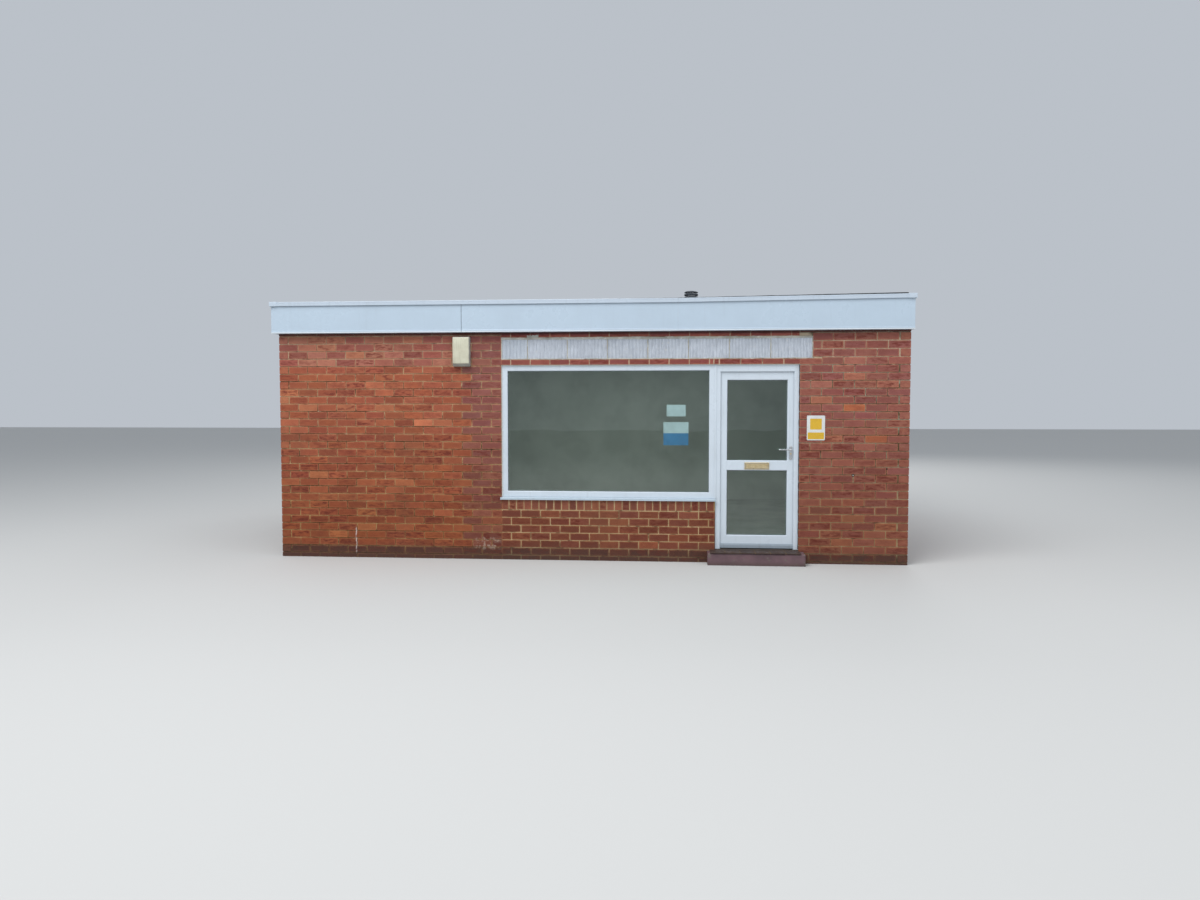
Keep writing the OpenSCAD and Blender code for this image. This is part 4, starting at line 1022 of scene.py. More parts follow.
def buildDoorLeaf():
    d, s = door, letter
    front, lipBack, back = d["leafFront"], d["leafFront"] + d["lip"], d["back"]
    lights = [(*d["light"], *d["lower"]), (*d["light"], *d["upper"])]
    shape = Shape()
    mitredRing(shape, d["leaf"], (*d["light"], d["lower"][0], d["upper"][1]),
               frameSection(front, lipBack, back))
    # The middle rail is cut through for letters, so it has four parts, one on each side of the slot.
    slotX, slotZ = ((s[at] - size / 2, s[at] + size / 2) for at, size in zip("xz", s["slot"]))
    ends = (d["light"][0] - 0.0058, d["light"][1] + 0.0058)
    for cut, edge in ((slotZ[1], d["upper"][0]), (slotZ[0], d["lower"][1])):
        prism(shape, railSection(cut, edge, front, lipBack, back), ends)
    for span in ((ends[0], slotX[0]), (slotX[1], ends[1])):
        prism(shape, [(front, slotZ[0]), (front, slotZ[1]), (back, slotZ[1]), (back, slotZ[0])], span)
    for rect in lights:
        gasketRing(shape, rect, lipBack)
    made = shape.piece("doorLeaf", "door", upvc, rubber)
    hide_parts("door_leaf")
    panes = [grow(rect, d["lip"] - d["seat"]) for rect in lights]
    glassFront = lipBack + d["seat"]
    doublePane("doorGlass", "door", panes, glassFront, d["pane"], d["sheet"], "door_glass")
    beadRings("doorBeads", "door", panes, (glassFront + d["pane"] + d["seat"], back), d["bead"], "door_beads")


# Brass letter plate with a rim, and its flap on a hinge pin.
def buildLetterPlate():
    s, face = letter, door["leafFront"]
    outer = (s["x"] - s["wide"] / 2, s["x"] + s["wide"] / 2, s["z"] - s["high"] / 2, s["z"] + s["high"] / 2)
    front = face - s["thick"]
    shape = Shape()
    mitredRing(shape, outer, grow(outer, -s["rim"]), [
        ("o", 0, face), ("o", 0, front + 0.004), ("o", 0.0009, front + 0.0014), ("o", 0.0032, front),
        ("i", 0.0028, front), ("i", 0.0008, front + 0.0009), ("i", 0, front + 0.003), ("i", 0, face)],
        0, weld=0.0)
    made = shape.piece("letterPlate", "door", brass, smooth=True)
    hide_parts("letter_plate")

    # A shallow dome across the flap, thin at its edges, with the pin along its upper edge.
    flap = Shape()
    wide, high = s["flap"]
    x0, x1, low, y = s["x"] - wide / 2, s["x"] + wide / 2, s["z"] - high / 2, front + 0.0045
    pinY, pinZ = s["pin"]
    dome = [0.0, *(math.sin(math.pi * k / 12) ** 0.5 for k in range(1, 12)), 0.0]
    rings = []
    for k in range(13):
        xs = x0 + (x1 - x0) * (k / 12)
        ring = []
        for m in range(9):
            v = m / 8
            over = 0.0016 * dome[k] * math.sin(math.pi * v) ** 0.5 if 0 < m < 8 else 0.0
            ring.append((xs, y - 0.0014 - over, low + (pinZ - low) * v))
        rings.append(ring + [(xs, y + 0.0015, pinZ), (xs, y + 0.0015, low)])
    loft(flap, rings)
    for radius, past, sides in ((0.0034, 0, 20), (0.0019, 0.012, 16)):
        lathe(flap, (0, pinY, pinZ), [(radius, x0 - past), (radius, x1 + past)], "x", sides, flatEnds=True)
    made = flap.piece("letterFlap", "flap", brass, smooth=True)
    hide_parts("letter_flap")


# On each side of the leaf a plate, a lever and the lock's end; the lock runs through the leaf.
def buildHandles():
    h = handle
    x, z, turn, (wide, high, thick) = h["x"], h["z"], h["turn"], h["plate"]
    plates, levers, lock = Shape(), Shape(), Shape()
    lockZ, r = z - h["lockDrop"], h["lockRadius"]
    for base, way in ((door["leafFront"], -1), (door["back"], 1)):
        layers = [(out, inset, inset, inset, wide / 2 - inset - 0.0001) for inset, out in (
            (0, 0), (0, 0.0055), (0.0008, 0.0071), (0.0026, 0.0079), (0.0045, thick))]
        moulded(plates, (x - wide / 2, x + wide / 2), (h["top"] - high, h["top"]), layers, base, way, 9)
        y = base + way * thick
        lathe(plates, (x, y, z), [(0.0125, 0), (0.0125, way * 0.0014), (0.0118, way * 0.0021),
                                  (0.0094, way * 0.0022), (0.0094, 0)], "y", 36)
        for at in (h["top"] - 0.010, h["top"] - high + 0.014):
            screwHead(plates, x, y - way * 0.0002, at, 0.0034, way)
        # Lever: a round neck that bends into a flattened grip with a rounded end.
        path = [(x, base - way * 0.0003, z), (x, base + way * (h["out"] - turn), z)]
        for k in range(1, 7):
            t = math.radians(90 * k / 6)
            path.append((x - turn + turn * math.cos(t),
                         base + way * (h["out"] - turn + turn * math.sin(t)), z))
        path += [(x - turn - (h["grip"] - turn) * t, base + way * h["out"],
                  z - 0.0012 * math.sin(math.pi * t))
                 for t in (0.12, 0.3, 0.5, 0.7, 0.86, 0.93, 0.97, 0.99, 1.0)]
        wides = [0.0086, 0.0084] + [0.0078] * 6
        wides += [0.0068, 0.0062, 0.0058, 0.0058, 0.006, 0.0058, 0.0046, 0.003, 0.0004]
        highs = [0.0086, 0.0084] + [0.0082] * 6
        highs += [0.0078, 0.0074, 0.0072, 0.0072, 0.0074, 0.007, 0.0056, 0.0036, 0.0004]
        sweepBar(levers, path, wides, highs, 24)
        lathe(levers, (x + 0.0015, base + way * h["out"], z), [
            (onCentre, -0.011), (0.006, -0.009), (0.0084, -0.004), (0.0088, 0.0), (0.0074, 0.0048),
            (0.004, 0.0072), (onCentre, 0.008)], "x", 24)
        face = y + way * 0.002
        out = face - base
        lathe(lock, (x, base, lockZ), [(r, 0), (r, out - way * 0.0006), (r - 0.0006, out), (0.0061, out),
                                       (0.0059, out - way * 0.0003), (0.0057, out)], "y", 32, flatEnds=True)
        lock.box((x - 0.0006, x + 0.0006), sorted((face, face + way * 0.00015)),
                 (lockZ - 0.0036, lockZ + 0.0036), 1)
    lock.box((x - 0.0084, x + 0.0084), (door["leafFront"], door["back"]), (lockZ - 0.002, lockZ + 0.002))
    made = plates.piece("handlePlates", "door", silver, smooth=True)
    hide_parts("handle_plates")
    made = levers.piece("leverHandles", "levers", silver, smooth=True)
    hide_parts("lever_handles")
    made = lock.piece("lockCylinder", "door", brass, rubber, smooth=True)
    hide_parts("lock_cylinder")


# Flag hinges: the lower knuckle and the pin are on the frame's half, the upper knuckle on the door's.
def buildHinges():
    g = hinge
    (x, y), r, high, back = g["axis"], g["radius"], g["high"], door["back"]
    long, thick, soft = *g["flag"], 0.0008
    fixed, moving = Shape(), Shape()
    for z in g["at"]:
        for shape, low, span, shift in ((fixed, z, (x - long, x - 0.002), -0.003),
                                        (moving, z + high + 0.001, (x + 0.0025, x + long), 0.004)):
            lathe(shape, (x, y, 0), [(r - 0.001, low), (r, low + 0.001), (r, low + high - 0.001),
                                     (r - 0.001, low + high)], "z", 28, flatEnds=True)
            moulded(shape, span, (low, low + high), [(0, 0, 0, 0, 0.003), (thick - soft, 0, 0, 0, 0.003),
                    (thick, soft, soft, soft, 0.0024)], back, 1, 4)
            for up in (0.011, high - 0.011):
                screwHead(shape, (span[0] + span[1]) / 2 + shift, back + thick - 0.0002, low + up, 0.0036,
                          1, 1)
        tip = z + 2 * high - 0.002
        lathe(fixed, (x, y, 0), [(0.0039, z), (0.0039, tip - 0.001), (0.003, tip)], "z", 20, 1, True)
    for shape, name, body, node in ((fixed, "hingesOnFrame", "shop", "hinge_fixed_halves"),
                                    (moving, "hingesOnDoor", "door", "hinge_door_halves")):
        made = shape.piece(name, body, upvc, silver, smooth=True)
        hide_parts(node)


buildDoorFrame()
buildDoorLeaf()
buildLetterPlate()
buildHandles()
buildHinges()
print("door set built")


# Block band over the frames: combed faces, and buff mortar left ragged over the joints and the upper edge.
blocks = {"start": -0.945, "first": 0.285, "long": 0.44, "joint": 0.01, "count": 7, "depth": 0.1,
          "columns": 72, "rows": 6}


def buildBlocks():
    b, rows, front = blocks, blocks["rows"], shell["front"]
    base, top, back = opening["blockBase"], opening["blockTop"], front + b["depth"]
    dice = random.Random(31)
    shape = Shape(chance=0.0)
    x = b["start"]
    joints = [(x - b["joint"], x)]
    for number in range(b["count"] + 1):
        cut = number == 0
        wide = b["first"] if cut else b["long"]
        columns = max(12, round(b["columns"] * wide / b["long"]))
        chance = 0.97 if cut else dice.uniform(0.0, 0.8)
        groove = 0.0016 if cut else dice.uniform(0.0004, 0.001)
        rut = [dice.uniform(-1, 1) for _ in range(columns + 1)]
        points = []
        for row in range(rows + 1):
            for column in range(columns + 1):
                sideEdge, levelEdge = column in (0, columns), row in (0, rows)
                edge = sideEdge or levelEdge
                deep = 0.003 if edge else max(0.0, groove * (1.0 + rut[column]) + dice.gauss(0, 0.0002))
                worn = dice.gauss(0, 0.0012) if edge else 0.0
                points.append((x + wide * column / columns + (worn if sideEdge else 0), front + deep,
                               base + (top - base) * row / rows + (worn if levelEdge else 0)))
        step, size, last = columns + 1, len(points), rows * (columns + 1)
        points += [(a, back, c) for a, c in rectangle((x, x + wide), (base, top))]
        faces = gridFaces(rows, columns)
        faces += [list(range(step))[::-1] + [size, size + 1],
                  [last + c for c in range(step)] + [size + 2, size + 3],
                  [row * step for row in range(rows + 1)] + [size + 3, size],
                  [row * step + columns for row in reversed(range(rows + 1))] + [size + 1, size + 2],
                  [size, size + 1, size + 2, size + 3]]
        shape.add(points, faces, chance=chance)
        x += wide
        joints.append((x, x + b["joint"]))
        x += b["joint"]
    # Mortar in the upright joints, floated over the edges of the blocks here and there.
    for low, high in joints:
        raggedMortar(shape, (low + 0.0025, high + 0.001), (base, top), dice, upright=True, spill=0.004)
    whole = (b["start"] - b["joint"], x)
    raggedMortar(shape, whole, (top - 0.001, top + 0.022), dice, spill=0.005)
    raggedMortar(shape, whole, (base - 0.009, base + 0.001), dice, spill=0.004)
    # A lump of mortar squeezed out over the first blocks.
    raggedMortar(shape, (-0.66, -0.53), (top + 0.002, top + 0.044), dice, spill=0.012, proud=0.007)
    made = shape.piece("blockBand", "shop", block, buffMortar)
    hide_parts("block_band")


# A strip of mortar with uneven edges that stands out a little from the wall.
def raggedMortar(shape, x, z, dice, upright=False, spill=0.006, proud=0.0012):
    front = shell["front"]
    (start, stop), across = (z, x) if upright else (x, z)
    steps = max(4, int((stop - start) / 0.012))
    wander = [0.0, 0.0]
    rings = []
    for k in range(steps + 1):
        wander = [max(-0.002, min(spill, v * 0.8 + dice.gauss(0, spill * 0.35))) for v in wander]
        at = start + (stop - start) * k / steps
        low, high = across[0] - wander[0], across[1] + wander[1]
        row = [(low, front + 0.006), (low + 0.001, front - 0.0002),
               (low * 0.6 + high * 0.4, front - proud * dice.uniform(0.4, 1.3)),
               (high - 0.001, front - 0.0002), (high, front + 0.006)]
        rings.append([(c, y, at) if upright else (at, y, c) for c, y in row])
    loft(shape, rings, 1)


buildBlocks()
print("block band built")


# Roof edge: fascia boards with a nosing along the foot, soffit boards, and a white trim round the roof.
roof = {"deck": 2.909, "foot": 2.571, "left": -3.595, "right": 3.563, "bend": 1.0285, "rise": 0.024,
        "front": -2.885, "rear": 2.885, "board": 0.018, "jointX": -1.39, "joint": 0.005, "seam": 0.002,
        "nose": 0.026, "soffit": 0.009, "trimOut": 0.012, "trimHigh": 0.046, "trimBase": 2.8793,
        "flange": 0.078, "corner": 0.084}


def riseAt(x):
    r = roof
    return 0.0 if x <= r["bend"] else r["rise"] * (x - r["bend"]) / (shell["right"] - r["bend"])


# A fascia board from one x to another: its face stands 1.5 mm behind a rounded nosing.
def fasciaBoard(shape, x, face, way):
    low, nose, board = roof["foot"], roof["nose"], roof["board"]
    rings = []
    for at in (x[0], x[0] + 0.0005, x[1] - 0.0005, x[1]):
        back = 0.0004 if at in x else 0.0
        top = roof["deck"] + riseAt(at)
        outline = [(0.0032 + back, low), (0.0008 + back, low + 0.0006), (back, low + 0.003),
                   (back, low + 0.0105), (back, low + nose - 0.004), (0.0012 + back, low + nose),
                   (0.0034 + back, low + nose + 0.0012), (0.0034 + back, top), (board, top), (board, low)]
        rings.append([(at, face + way * y, z) for y, z in outline])
    first = len(shape.faces)
    loft(shape, rings)
    # The lowest edges of the nosing take a paler white than the rest of the board.
    for n in range(3):
        for m in (1, 2):
            shape.slots[first + n * len(outline) + m] = 1


def buildFascia():
    r = roof
    low, nose, board, gap, bend = r["foot"], r["nose"], r["board"], r["joint"] / 2, r["bend"]
    front, rear, sides = Shape(), Shape(), Shape()
    for span in ((r["left"], r["jointX"] - gap), (r["jointX"] + gap, bend - 0.0003),
                 (bend + 0.0003, r["right"])):
        fasciaBoard(front, span, r["front"], 1)
    for span in ((r["left"], bend - r["seam"] / 2), (bend + r["seam"] / 2, r["right"])):
        fasciaBoard(rear, span, r["rear"], -1)
    inside = (r["front"] + board, r["rear"] - board)
    for face, way, top in ((r["left"], 1, r["deck"]), (r["right"], -1, r["deck"] + r["rise"])):
        outline = [(0.0032, low), (0.0008, low + 0.0006), (0, low + 0.003), (0, low + nose - 0.004),
                   (0.0012, low + nose), (0.0034, low + nose + 0.0012), (0.0034, top), (board, top),
                   (board, low)]
        loft(sides, [[(face + way * x, y, z) for x, z in outline] for y in inside])
    for shape, name, node in ((front, "fasciaFront", "fascia_front"), (rear, "fasciaRear", "fascia_rear"),
                              (sides, "fasciaSides", "fascia_sides")):
        made = shape.piece(name, "shop", fasciaWhite, edgeWhite)
        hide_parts(node)

    # Soffits of hollow board, with a groove along the middle of each width.
    soffit = Shape()
    x0, z0, z1 = r["left"] + board, low, low + r["soffit"]
    for y in ((inside[0], shell["front"]), (shell["rear"], inside[1])):
        middle = (y[0] + y[1]) / 2
        prism(soffit, [(y[0], z0), (middle - 0.004, z0), (middle - 0.001, z0 + 0.003),
                       (middle + 0.001, z0 + 0.003), (middle + 0.004, z0), (y[1], z0), (y[1], z1),
                       (y[0], z1)], (x0, shell["right"]))
    prism(soffit, rectangle((x0, shell["left"]), (z0, z1)),
          (shell["front"] + 0.002, shell["rear"] - 0.002), "y")
    made = soffit.piece("soffitBoards", "shop", fasciaWhite)
    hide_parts("soffits")


# The trim's section as (inward, up): a face with a rounded bead on top, and a flange over the deck.
trimSection = [(0.0006, 0), (0, 0.0008), (0, 0.028), (0.0012, 0.0295), (0, 0.031), (0, 0.0425),
               (0.001, 0.0448), (0.003, 0.046), (0.007, 0.046), (0.0092, 0.0448), (0.01, 0.0425),
               (0.01, 0.0328), (0.078, 0.0328), (0.078, 0.0298), (0.004, 0.0298), (0.004, 0)]


def buildTrims():
    r = roof
    out, bend, seam, high, base = r["trimOut"], r["bend"], r["seam"], r["trimHigh"], r["trimBase"]
    x0, x1, y0, y1 = r["left"] - out, r["right"] + out, r["front"] - out, r["rear"] + out
    front, others = Shape(), Shape()
    slope = r["rise"] / (shell["right"] - bend)
    for shape, face, way in ((front, y0, 1), (others, y1, -1)):
        for span in ((x0, bend), (bend + seam, x1)):
            loft(shape, [[(at, face + way * a, base + max(0.0, (at - bend) * slope) + b)
                          for a, b in trimSection] for at in span])
    inner = (y0 + r["flange"] + seam, y1 - r["flange"] - seam)
    for face, way, lift in ((x0, 1, 0.0), (x1, -1, r["rise"])):
        loft(others, [[(face + way * a, y, base + lift + b) for a, b in trimSection] for y in inner])
    made = front.piece("roofTrimFront", "shop", trimWhite)
    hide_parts("trim_front")
    made = others.piece("roofTrimOthers", "shop", trimWhite)
    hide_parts("trim_sides_and_rear")

    # Moulded corner covers: an angle of two faces and a lid, rounded along the outer edges.
    covers = Shape()
    long, wall, play = r["corner"], 0.003, 0.0003
    section = [(-play, -0.002), (-wall - play, -0.002), (-wall - play, high - 0.002),
               (-wall + 0.0006, high + 0.0012),
               (-0.0006, high + 0.0026), (0.012, high + 0.003), (0.012, high + play), (-play, high + play)]
    lid = rectangle((0.0115, long), (0.0115, long))
    for faceX, wayX, lift in ((x0, 1, 0.0), (x1, -1, r["rise"])):
        for faceY, wayY in ((y0, 1), (y1, -1)):
            at = base + lift
            ends = [[(long, a) for a, _ in section], [(a, a) for a, _ in section],
                    [(a, long) for a, _ in section]]
            loft(covers, [[(faceX + wayX * a, faceY + wayY * b, at + up)
                           for (a, b), (_, up) in zip(end, section)] for end in ends])
            loft(covers, [[(faceX + wayX * a, faceY + wayY * b, at + high + play + up) for a, b in lid]
                          for up in (0.0, 0.0026)])
    made = covers.piece("trimCorners", "shop", trimWhite, smooth=True)
    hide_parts("trim_corners")


buildFascia()
buildTrims()
print("roof edge built")


# Roof: joists with worn edges, plywood sheets, and felt laid in strips with laps.
joist = {"pitch": 0.455, "thick": 0.047, "low": 2.696, "high": 2.891}
felt = {"wide": 0.92, "lap": 0.075, "thick": 0.005, "edge": 0.079, "lip": 0.014, "lipStart": 3.4, "rows": 48,
        "lift": 0.0003, "lipSteps": 60}


def buildRoof():
    r, f = roof, felt
    dice = random.Random(41)
    joists = Shape(chance=0.0)
    thick = joist["thick"]
    y = (r["front"] + r["board"], r["rear"] - r["board"])
    count = math.ceil((shell["right"] - shell["left"] - thick) / joist["pitch"])
    for n in range(count + 1):
        x = shell["left"] + n * joist["pitch"] if n < count else shell["right"] - thick
        outline = roundedOutline((x, x + thick), (joist["low"], joist["high"] + riseAt(x)), 0.003, 2)
        loft(joists, [[(a, s, b) for a, b in outline] for s in y], chance=dice.random())
    made = joists.piece("roofJoists", "shop", joistTimber)
    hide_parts("roof_joists")

    # Deck sheets of 2.4 by 1.2 m, broken along the bend, with 2 mm between them.
    deck = Shape(chance=0.0)
    xs, rows, gap = [r["left"] + r["board"], -1.2, r["bend"], shell["right"]], 5, 0.001
    long = (y[1] - y[0]) / rows
    for n in range(3):
        for m in range(rows):
            span = (xs[n] + (gap if n else 0), xs[n + 1] - (gap if n < 2 else 0))
            across = (y[0] + m * long + (gap if m else 0),
                      y[0] + (m + 1) * long - (gap if m < rows - 1 else 0))
            points = [(x, at, r["deck"] + riseAt(x) + up)
                      for up in (-0.018, 0.0) for x, at in rectangle(span, across)]
            deck.add(points, boxFaces(), chance=dice.random())
    made = deck.piece("roofDeck", "shop", deckBoard)
    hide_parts("roof_deck")

    # Strips of felt run from front to rear; each laps over the one before it, up the roof.
    sheets = Shape(lap=0.0)
    x0, x1 = r["left"] - r["trimOut"] + f["edge"], r["right"] + r["trimOut"] - f["edge"]
    y0, y1 = r["front"] - r["trimOut"] + f["edge"], r["rear"] + r["trimOut"] - f["edge"]
    starts = []
    at = x0
    while at < x1 - 0.2:
        starts.append(at)
        at += f["wide"]
    rows = f["rows"]
    for n, start in enumerate(starts):
        stop = x1 if n == len(starts) - 1 else starts[n + 1] + f["lap"]
        columns = [start, start + 0.004, start + 0.03, start + 0.08] if n else [start, start + 0.004]
        inner = columns[-1]
        columns += [inner + (stop - inner) * k / 12 for k in range(1, 13)]
        points, laps = [], []
        for m in range(rows + 1):
            along = y0 + (y1 - y0) * m / rows
            wave = dice.gauss(0, 0.002)
            for c, x in enumerate(columns):
                over = f["thick"] * 0.8 if n and x < start + f["lap"] + 0.01 else 0.0
                wrinkle = 0.0008 * math.sin(along * 7.0 + n) * math.sin(x * 5.0) if 0 < m < rows else 0.0
                up = f["lift"] + f["thick"] + over * (0.4 if n and c == 0 else 1.0) + wrinkle
                points.append((x + (wave if n and c < 2 else 0.0), along, r["deck"] + riseAt(x) + up))
                laps.append((1.0, 1.0, 0.55)[c] if n and c < 3 else 0.0)
        step, size, last = len(columns), len(points), rows * len(columns)
        points += [(x, along, r["deck"] + riseAt(x) + f["lift"])
                   for x, along in rectangle((columns[0], columns[-1]), (y0, y1))]
        faces = gridFaces(rows, step - 1)
        faces += [[size, size + 1] + list(range(step))[::-1],
                  [size + 2, size + 3] + [last + c for c in range(step)],
                  [size + 1, size + 2] + [m * step + step - 1 for m in reversed(range(rows + 1))],
                  [size + 3, size] + [m * step for m in range(rows + 1)],
                  [size + 3, size + 2, size + 1, size]]
        sheets.add(points, faces, lap=laps + [0.0] * 4)
    # The turned-up edge behind the front trim, which shows above the trim towards the right.
    face, flange, steps = r["front"] - r["trimOut"], r["flange"], f["lipSteps"]
    span = (shell["left"] + f["lipStart"], r["right"] + r["trimOut"] - r["corner"] - r["seam"])
    rings = []
    for k in range(steps + 1):
        x = span[0] + (span[1] - span[0]) * k / steps
        base = r["deck"] + riseAt(x)
        top = base + 0.0163 + f["lip"] * (x - span[0]) / (shell["right"] - span[0]) + dice.gauss(0, 0.0006)
        rings.append([(x, face + out, z) for out, z in (
            (0.0122, base + 0.0036), (0.0122, top - 0.003), (0.0150, top), (0.0300, top - 0.0005),
            (flange, base + 0.0088), (flange, base + 0.0036))])
    loft(sheets, rings, lap=0.9)
    made = sheets.piece("roofFelt", "shop", roofFelt, smooth=True)
    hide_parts("roof_felt")


buildRoof()


# Roof vent: flanged pipe, two slats and a cap, all turned about one axis.
vent = {"x": 1.195, "y": -1.3, "cap": 0.088, "pipe": 0.055, "high": 0.285, "pitch": 0.034}


def ventMaterial(name, light, dark):
    n = Nodes(name, metallic=0.4, roughness=0.5)
    spots = n.noise(26.0, 5.0, 0.65)
    n.ground(spots, 0.4, 0.7, light, dark)
    n.stain(n.noise(70.0, 4.0), 0.62, 0.74, 0.6, (120, 84, 60))
    n.relief(spots, 0.0008, 0.4)
    return n.finish(n.limits(spots, 0.3, 0.7, (0.4, 0.68)))


def buildVent():
    x, y, cap, pipe, high = (vent[name] for name in ("x", "y", "cap", "pipe", "high"))
    z = roof["deck"] + felt["lift"] + felt["thick"] + riseAt(x + cap)
    profile = [(onCentre, 0), (cap, 0), (cap, 0.004), (cap - 0.0015, 0.0055), (pipe + 0.004, 0.010),
               (pipe, 0.014)]
    capZ = high - 0.018 - 0.005
    for n in (2, 1):
        low = capZ - n * vent["pitch"]
        profile += [(pipe, low), (cap - 0.003, low - 0.0002), (cap, low + 0.003), (cap, low + 0.015),
                    (cap - 0.003, low + 0.018), (pipe, low + 0.023)]
    profile += [(pipe, capZ), (cap - 0.003, capZ), (cap, capZ + 0.003), (cap - 0.002, capZ + 0.007),
                (cap * 0.8, high - 0.005), (cap * 0.4, high - 0.0015), (onCentre, high)]
    shape = Shape()
    lathe(shape, (x, y, z), profile, "z", 64)
    # The pipe's own faces are the pale ones: near white, as painted light for the sky that shows between the
    # slats.
    for n, face in enumerate(shape.faces):
        far = max(math.hypot(shape.points[i][0] - x, shape.points[i][1] - y) for i in face)
        shape.slots[n] = 1 if far < pipe + 0.001 and len(face) == 4 else 0
    made = shape.piece("roofVent", "shop", ventMaterial("ventSlats", (74, 80, 88), (48, 52, 58)),
                       ventMaterial("ventPipe", (236, 239, 240), (206, 210, 212)), smooth=True)
    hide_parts("roof_vent")


buildVent()
print("roof built")


# Alarm box: a moulded cover, cream on its face, with a greyer copy of its plastic round the edges and on the
# sloping foot as painted shade.
alarm = {"x": -1.5, "wide": 0.196, "low": 2.19, "high": 2.522, "rim": 0.062, "seam": (0.012, 0.0132),
         "play": 0.0002}


def alarmMaterial(name, light, dark):
    n = Nodes(name, roughness=0.5, specular=0.4)
    n.ground(n.noise(12.0, 4.0), 0.38, 0.66, light, dark)
    n.stain(n.noise(1.0, 4.0, 0.6, n.spread(60, 60, 4)), 0.55, 0.72, 0.4, darker(dark, 0.78))
    n.relief(n.noise(420.0), 0.0003, 0.5)
    return n.finish(n.limits(n.noise(30.0), 0.3, 0.7, (0.4, 0.62)))


def buildAlarmBox():
    a, front = alarm, shell["front"]
    shape = Shape()
    x, z = (a["x"], a["x"] + a["wide"]), (a["low"], a["high"])
    moulded(shape, x, z, [(0.0, 0.0, 0.0, 0.0, 0.006), (0.030, 0.0, 0.0, 0.0, 0.006),
                          (0.0335, 0.0005, 0.0012, 0.0005, 0.006), (0.050, 0.001, 0.0165, 0.001, 0.008),
                          (0.0575, 0.002, 0.0235, 0.002, 0.010), (0.0655, 0.0055, 0.0305, 0.0075, 0.012),
                          (0.0705, 0.011, 0.034, 0.0125, 0.013), (0.072, 0.017, 0.038, 0.019, 0.012)],
            front, -1)
    # The foot's faces and the rim take the greyer copy: painted shade.
    for n, face in enumerate(shape.faces):
        out = front - sum(shape.points[i][1] for i in face) / len(face)
        shape.slots[n] = 1 if 0.001 < out < a["rim"] else 0
    # A fine seam round the cover.
    seam = rectangle((x[0] - a["play"], x[1] + a["play"]), (z[0] + a["play"], z[1] + a["play"]))
    prism(shape, seam, [front - out for out in a["seam"]], "y", 2)
    made = shape.piece("alarmBox", "shop", alarmMaterial("alarmCream", (203, 201, 180), (188, 185, 164)),
                       alarmMaterial("alarmEdgePaintedShade", (168, 170, 162), (146, 148, 142)), rubber, smooth=True)
    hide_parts("alarm_box")


# Wall sign left bare: a thin white plate with plain yellow fields, on four screws.
sign = {"x": (2.443, 2.639), "z": (1.368, 1.64), "thick": 0.0024, "radius": 0.008, "screwIn": 0.006,
        "screw": 0.0034}


def signMaterial(name, tone):
    n = Nodes(name, roughness=0.4)
    n.ground(n.noise(14.0, 4.0), 0.4, 0.7, tone, darker(tone, 0.9), 0.5)
    n.stain(n.noise(90.0, 3.0), 0.64, 0.74, 0.3, (120, 112, 96))
    n.relief(n.noise(6.0), 0.001, 0.4)
    return n.finish(n.limits(n.noise(20.0), 0.3, 0.7, (0.32, 0.5)))


def buildSign():
    x, z, thick, radius, inset = (sign[name] for name in ("x", "z", "thick", "radius", "screwIn"))
    front = shell["front"]
    shape = Shape()
    moulded(shape, x, z, [(0, 0, 0, 0, radius), (0.0018, 0, 0, 0, radius),
                          (thick, 0.0004, 0.0004, 0.0004, radius)],
            front, -1)
    for side, low, high in ((0.035, 0.118, 0.238), (0.010, 0.012, 0.086)):
        layers = [(out, side, 0, 0, 0.004) for out in (thick, 0.0026)]
        moulded(shape, x, (z[0] + low, z[0] + high), layers, front, -1, 3, 1)
    for a in (x[0] + inset, x[1] - inset):
        for b in (z[0] + inset, z[1] - inset):
            screwHead(shape, a, front - thick, b, sign["screw"], -1, 2)
    made = shape.piece("wallSign", "shop", signMaterial("signWhite", (214, 217, 216)),
                       signMaterial("signYellow", (214, 172, 46)), silver)
    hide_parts("wall_sign")


# Sheets stuck to the inside of the shop glass, left bare: two white and one blue.
notices = {"inside": -2.7327, "play": 0.0002, "thick": 0.0003}


def buildNotices():
    shape = Shape()
    inside = notices["inside"] + notices["play"]
    for x, z, slot in (((0.907, 1.118), (1.629, 1.758), 0), ((0.871, 1.15), (1.44, 1.564), 0),
                       ((0.871, 1.15), (1.305, 1.4395), 1)):
        prism(shape, rectangle(x, z), (inside, inside + notices["thick"]), "y", slot)
    made = shape.piece("glassNotices", "shop", signMaterial("noticeWhite", (236, 240, 252)),
                       signMaterial("noticeBlue", (78, 150, 214)))


# Step: a painted concrete block with knocked edges, and a row of tiles with a rounded nose.
step = {"x": (1.362, 2.422), "y": (-2.985, -2.8), "high": 0.133, "tileX": (1.39, 2.37), "tileFront": -2.995,
        "tile": 0.013, "tiles": 6, "grout": 0.005, "nose": 0.0045, "noseDeep": 0.008, "columns": 64, "ups": 9,
        "backs": 10, "edge": 0.004, "near": 0.0001}


